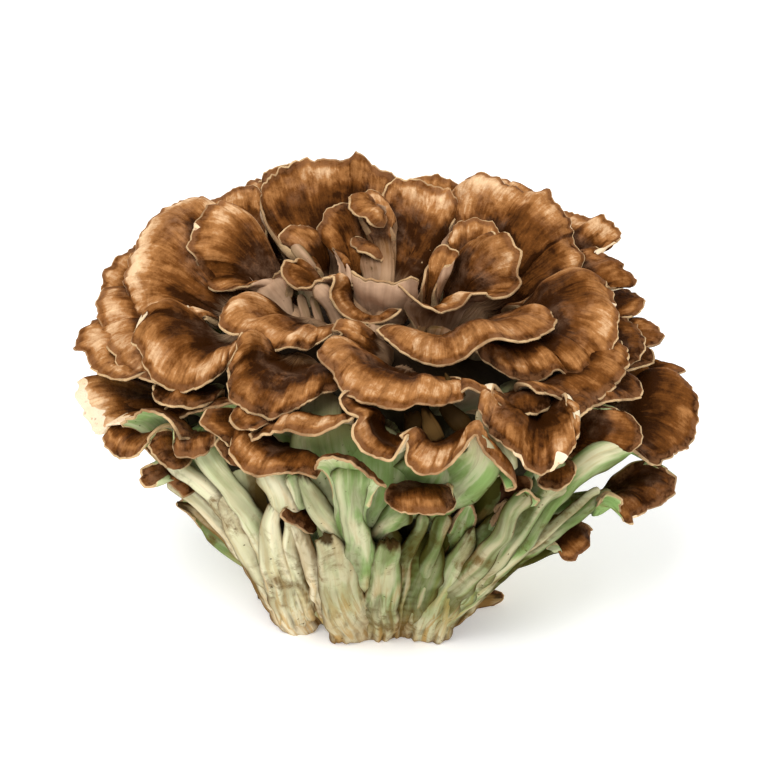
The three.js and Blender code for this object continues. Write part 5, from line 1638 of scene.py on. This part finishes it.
@dataclass(frozen=True)
class Recesses:
    """Paints shade on stalks by how far they lie behind the stalks round about.

    The front drawing is cut into squares; each takes the depth of its nearest corner, and then three
    times the mean of itself and its eight neighbours, so that squares with nothing in them count for
    nothing. square and behind, where the step of the shade starts and ends, are in millimetres, and
    added_shade is the most painted shade that it adds.
    """

    square: float = 3.0
    behind: Point = (2.0, 14.0)
    added_shade: float = 0.8

    def darken(self, patches: list[Patch]) -> None:
        """Change the shade of the skins."""
        corners = np.concatenate([p.corners for p in patches])
        across, up, depth = corners[:, 0], corners @ DRAWING.rise, corners @ DRAWING.forward
        column = ((across - across.min()) / self.square).astype(int) + 2
        row = ((up - up.min()) / self.square).astype(int) + 2
        near = np.full((row.max() + 3, column.max() + 3), np.inf)
        np.minimum.at(near, (row, column), depth)
        weight = np.isfinite(near).astype(float)
        near = np.where(weight > 0, near, 0.0)
        shifts = [(i, j) for i in (-1, 0, 1) for j in (-1, 0, 1)]
        for _ in range(3):
            near = sum(np.roll(near, shift, (0, 1)) for shift in shifts) / 9
            weight = sum(np.roll(weight, shift, (0, 1)) for shift in shifts) / 9
        behind = depth - (near / np.maximum(weight, 1e-9))[row, column]
        # painted shade on stalks that lie back in a recess
        for patch, here in zip(patches, split_back(patches, self.added_shade * smooth(*self.behind, behind))):
            patch.values["shade"] = patch.values["shade"] + here


@dataclass
class StalkGroup:
    """The stalks that show below the front fronds, stored as one piece."""

    name: str
    plans: tuple[Stalk, ...]
    first_seed: int
    maker: StalkMaker = field(default_factory=StalkMaker)

    def piece(self) -> Piece:
        """Carry every stalk's marks out to their depths and make its skin."""
        patches = []
        for i, plan in enumerate(self.plans):
            LOG.debug("%s: %s", self.name, plan.name)
            marks = np.array(plan.marks, dtype=float)
            line = DRAWING.line(marks[:, :2], plan.depth)
            widths = marks[:, 2] * DRAWING.mm_per_mark
            patches.append(self.maker.make(line, widths, -DRAWING.forward, plan, self.first_seed + i))
        # painted shade on the stalks that lie back
        Recesses().darken(patches)
        return Piece(self.name, FLESH_SLOT, patches)


@dataclass
class BackStalks:
    """The fused stalks that run up the sides and the back of the heart, laid by rule.

    Stalk i of a row of n stands at first + (last - first) i / (n - 1) degrees from the back, give or take
    stray of the spacing. It follows the heart's wall from the foot to its top, drifting sideways by up to
    drift degrees as it climbs; sway and uneven are what each of its points strays by round the heart, in
    degrees, and into it. climb holds the heights of its points as shares of its top's, and swell their
    widths as shares of its foot's, after one for the top that is drawn from top_width. torn_share of them
    have a torn brown top. Its painted shade grows by upper_shade over the heights upper_shade_height,
    darker higher up.
    """

    rows: tuple[tuple[int, float, float, float], ...] = ((32, 60.0, 98.0, 5.0), (23, 34.0, 76.0, 3.0))
    first: float = -122.0
    last: float = 118.0
    climb: Point = (1.0, 0.8, 0.6, 0.4, 0.22, 0.08, -0.03)
    swell: Point = (0.75, 0.66, 0.68, 0.8, 0.95, 1.0)
    stray: float = 0.35
    drift: float = 9.0
    sway: float = 1.0
    uneven: Point = (-1.0, 1.5)
    foot_width: Point = (9.0, 14.0)
    top_width: Point = (0.55, 1.1)
    torn_share: float = 0.4
    torn: Point = (1.0, 3.0)
    thick: Point = (0.55, 0.8)
    green: Point = (0.2, 1.0)
    shade: Point = (0.0, 0.3)
    upper_shade_height: Point = (38.0, 90.0)
    upper_shade: float = 0.5
    seed: int = 2300
    maker: StalkMaker = field(default_factory=lambda: StalkMaker(columns=17, spacing=3.2))

    def stalk(self, share: float, row: tuple[int, float, float, float], rng: np.random.Generator,
              number: int) -> Patch:
        """Build the stalk at a share of the way round; a row is its count, top heights and sinking."""
        count, low, high, sunk = row
        spread = (self.last - self.first) / count
        angle = self.first + (self.last - self.first) * share + spread * rng.uniform(-self.stray, self.stray)
        top = rng.uniform(low, high)
        z = np.array(self.climb) * top
        drift = rng.uniform(-self.drift, self.drift)
        turn = np.radians(angle + drift * (z / top) + rng.uniform(-self.sway, self.sway, len(z)))
        off = sunk + rng.uniform(*self.uneven, len(z))
        half_x, half_y = heart_half(z)
        line = np.stack(((half_x - off) * np.sin(turn), (half_y - off) * np.cos(turn), z), -1)
        foot_width = rng.uniform(*self.foot_width)
        widths = foot_width * np.array((rng.uniform(*self.top_width), *self.swell))
        torn = rng.uniform(*self.torn) if rng.uniform() < self.torn_share else 0.0
        looks = (rng.uniform(*self.thick), rng.uniform(*self.green), rng.uniform(*self.shade), torn)
        facing = np.array((math.sin(math.radians(angle)), math.cos(math.radians(angle)), 0.0))
        return self.maker.make(line, widths, facing, Stalk("back", (), (), *looks), self.seed + number)

    def piece(self) -> Piece:
        """Make every stalk."""
        rng = np.random.default_rng(self.seed)
        patches = []
        for row in self.rows:
            patches += [self.stalk(i / (row[0] - 1), row, rng, len(patches) + i) for i in range(row[0])]
        for patch in patches:
            # painted shade, darker higher up
            upper_shade = self.upper_shade * smooth(*self.upper_shade_height, patch.corners[:, 2])
            patch.values["shade"] = patch.values["shade"] + upper_shade
        return Piece("back_stalks", FLESH_SLOT, patches)


@dataclass
class Foot:
    """The cut foot and the mass of fused stalks above it, fluted by the stalks that run up it.

    deep is a flute's depth as a share of the radius, and cut what of it is left at the cut; it comes to
    full depth over the heights cut_height. The wall lies behind the heart's by up to behind, which it
    reaches over behind_height. rough holds the heights and periods of finer ripples, and radius turns an
    angle to a length for them. strand, seed_value, green and shade are what the finish is told.
    """

    sides: int = 220
    rows: int = 110
    flutes: int = 23
    deep: float = 0.13
    cut: float = 0.35
    cut_height: Point = (0.0, 18.0)
    behind: float = 10.0
    behind_height: Point = (4.0, 40.0)
    cone: float = 4.0
    rough: tuple[Point, ...] = ((0.012, 13.0), (0.006, 5.0))
    radius: float = 40.0
    strand: float = 42.0
    seed_value: float = 0.37
    green: float = 0.6
    # a constant painted shade over the foot's flesh
    shade: float = 0.3
    seed: int = 5

    def piece(self) -> Piece:
        """Make the foot's one skin.

        Each ring has the heart's half width and depth at its height, times 1 + deep * flute, where flute
        is the mean of two rows of rounded bumps, |sin| of the angle, that drift as they climb. A fan of
        triangles closes it below, and another above.
        """
        ripples = Ripples(self.seed)
        z = np.linspace(0.0, HEART[-1, 0], self.rows)[:, None]
        angle = np.linspace(0.0, 2 * np.pi, self.sides, endpoint=False)[None, :]
        drawn_in = self.behind * smooth(*self.behind_height, z)
        half_x, half_y = heart_half(z)
        drift = 0.10 * np.sin(z / 21 + 3 * angle) + 0.05 * np.sin(z / 9 + 7 * angle + 1)
        turned = angle + drift
        uneven = 0.25 * np.sin(3 * turned + 1.3) + 0.18 * np.sin(5 * turned + 0.4)
        bump = np.abs(np.sin(self.flutes / 2 * (turned + 0.25 * uneven)))
        thin = np.abs(np.sin(self.flutes * 1.5 * (turned + 0.1 * uneven) + 0.7))
        flute = 0.75 * np.sqrt(bump) + 0.25 * np.sqrt(thin)
        fade = self.cut + (1 - self.cut) * smooth(*self.cut_height, z)
        swell = 1 + self.deep * fade * (flute - 0.72)
        for height, period in self.rough:
            swell = swell + height * ripples.sheet(angle * self.radius, z, period)
        x = (half_x - drawn_in) * swell * np.cos(angle)
        y = (half_y - drawn_in) * swell * np.sin(angle)
        ring = np.stack((x, y, np.broadcast_to(z, x.shape)), -1)
        corners = np.concatenate((ring.reshape(-1, 3), ((0, 0, 0), (0, 0, HEART[-1, 0] + self.cone))))

        number = np.arange(self.rows * self.sides).reshape(self.rows, self.sides)
        after = np.roll(number, -1, axis=1)
        walls = np.stack((number[:-1], after[:-1], after[1:], number[1:]), -1).reshape(-1, 4)
        below, above = (np.full(self.sides, len(corners) - back) for back in (2, 1))
        fans = np.concatenate((
            np.stack((after[0], number[0], below), -1),
            np.stack((number[-1], after[-1], above), -1),
        ))
        full = np.ones(x.shape)
        grids = {"strand": angle * self.strand * full, "inset": z * full, "rim": flute * full,
                 "seed": self.seed_value * full, "green": self.green * full, "shade": self.shade * full,
                 "brown": 0 * full}
        values = {key: np.append(grid, (grid[0, 0], grid[-1, -1])) for key, grid in grids.items()}
        return Piece("foot", FLESH_SLOT, [Patch(corners, walls, values, fans)])


# --------------------------------------------------------------------------------- floor, light, camera


class Lamp(Enum):
    """The studio's soft lamps: place in metres, size in metres, power in watts."""

    KEY = ((-0.45, -1.0, 1.6), 1.0, 30.0)
    FRONT = ((0.9, -1.7, 0.7), 1.2, 6.0)
    FILL = ((1.4, 0.0, 1.1), 1.5, 8.0)
    BACK = ((-0.3, 1.5, 1.3), 1.5, 8.0)


@dataclass(frozen=True)
class Studio:
    """A plain pale floor, soft light and the camera."""

    floor_half: float = 6.0
    floor_tone: float = 0.95
    floor_glow: float = 0.22
    surround: float = 0.55
    lamp_aim: Point = (0.0, 0.0, 0.09)
    sensor: float = 36.0
    near_clip: float = 0.05

    def build(self) -> None:
        """Make the floor, the lamps, the pale surroundings and the camera."""
        self.floor()
        for lamp in Lamp:
            self.lamp(lamp)
        self.surroundings()
        self.camera()

    def floor(self) -> None:
        """Lay the floor on the plane that the foot stands on."""
        h = self.floor_half
        mesh = bpy.data.meshes.new("floor")
        mesh.from_pydata([(-h, -h, 0), (h, -h, 0), (h, h, 0), (-h, h, 0)], [], [(0, 1, 2, 3)])
        g = Graph("pale_floor")
        g.shader.inputs["Base Color"].default_value = (self.floor_tone,) * 3 + (1.0,)
        g.shader.inputs["Roughness"].default_value = 0.9
        g.shader.inputs["Emission Color"].default_value = WHITE
        g.shader.inputs["Emission Strength"].default_value = self.floor_glow
        g.shader.inputs["Specular IOR Level"].default_value = 0.1
        mesh.materials.append(g.material)
        plane = bpy.data.objects.new("floor", mesh)
        bpy.context.scene.collection.objects.link(plane)

    def lamp(self, lamp: Lamp) -> None:
        """Hang one soft square lamp that faces the cluster."""
        place, size, power = lamp.value
        light = bpy.data.lights.new(lamp.name.lower(), "AREA")
        light.size = size
        light.energy = power
        holder = bpy.data.objects.new(lamp.name.lower(), light)
        away = unit(np.array(place) - np.array(self.lamp_aim))
        side = unit(np.cross(UP, away))
        turn = Matrix(np.column_stack((side, np.cross(away, side), away)).tolist()).to_4x4()
        turn.translation = place
        holder.matrix_world = turn
        bpy.context.scene.collection.objects.link(holder)

    def surroundings(self) -> None:
        """Light the scene evenly from all round with white."""
        world = bpy.data.worlds.new("white_surroundings")
        world.use_nodes = True
        back = world.node_tree.nodes["Background"]
        back.inputs[0].default_value = WHITE
        back.inputs[1].default_value = self.surround
        bpy.context.scene.world = world
        bpy.context.scene.view_settings.view_transform = "Standard"

    def camera(self) -> None:
        """Set the camera where the front drawing is seen from."""
        lens = bpy.data.cameras.new("camera")
        lens.sensor_width = self.sensor
        seen = DRAWING.marks_across * DRAWING.mm_per_mark
        lens.lens = self.sensor * DRAWING.distance / seen
        lens.clip_start = self.near_clip
        eye = DRAWING.eye * METRE
        right = np.array((1.0, 0.0, 0.0))
        turn = Matrix(np.column_stack((right, DRAWING.rise, -DRAWING.forward)).tolist()).to_4x4()
        turn.translation = eye.tolist()
        holder = bpy.data.objects.new("camera", lens)
        holder.matrix_world = turn
        bpy.context.scene.collection.objects.link(holder)
        bpy.context.scene.camera = holder


# ----------------------------------------------------------------------------------------------- main


@dataclass
class Cluster:
    """The whole fungus: its foot, its groups of fronds and its groups of stalks.

    Each group has seeds_each seeds of its own, the back ones from back_seeds on and the stalks from
    stalk_seeds on. upper_tiers is how many of the back's tiers make its upper group.
    """

    maker: FrondMaker = field(default_factory=FrondMaker)
    back_maker: FrondMaker = field(default_factory=lambda: FrondMaker(spacing=1.75))
    seeds_each: int = 100
    back_seeds: int = 1000
    stalk_seeds: int = 2000
    upper_tiers: int = 3

    def groups(self) -> list[FrondGroup]:
        """Return the groups of fronds, each with its own run of seeds."""
        named = {
            "crown_fronds": CROWN_FRONDS,
            "centre_fronds": CENTRE_FRONDS,
            "middle_fronds": MIDDLE_FRONDS,
            "front_fronds": FRONT_FRONDS,
            "left_fronds": LEFT_FRONDS,
            "right_fronds": RIGHT_FRONDS,
            "spurs": SPUR_FRONDS,
        }
        groups = [
            FrondGroup(name, [lay_front(plan) for plan in plans], self.maker, self.seeds_each * (i + 1))
            for i, (name, plans) in enumerate(named.items())
        ]
        draws = Draws(BACK_SEED)
        tiers = [[lay_back(tier, i, draws) for i in range(tier.count)] for tier in BACK_TIERS]
        halves = {"upper": tiers[:self.upper_tiers], "lower": tiers[self.upper_tiers:]}
        for i, (half, kept) in enumerate(halves.items()):
            first_seed = self.back_seeds + self.seeds_each * i
            groups.append(FrondGroup(f"back_fronds_{half}", sum(kept, []), self.back_maker, first_seed))
        return groups

    def build(self) -> None:
        """Build the foot and every group."""
        stalks = {"front_stalks": STALKS, "upper_stalks": UPPER_STALKS, "inner_stalks": INNER_STALKS}
        makers = self.groups()
        for i, (name, plans) in enumerate(stalks.items()):
            makers.append(StalkGroup(name, plans, self.stalk_seeds + self.seeds_each * i))
        makers.append(BackStalks())
        pieces = [maker.piece() for maker in makers]
        # painted shade where the pieces crowd each other
        CrowdedShade().darken([patch for piece in pieces for patch in piece.patches])
        skin = CapSkin().material()
        for piece in pieces:
            store(piece, skin)
        store(Foot().piece(), FootSkin().material())


def main() -> None:
    """Build the cluster and the studio."""
    logging.basicConfig(level=logging.INFO, format="%(name)s: %(message)s")
    Cluster().build()
    Studio().build()


if __name__ == "__main__":
    main()
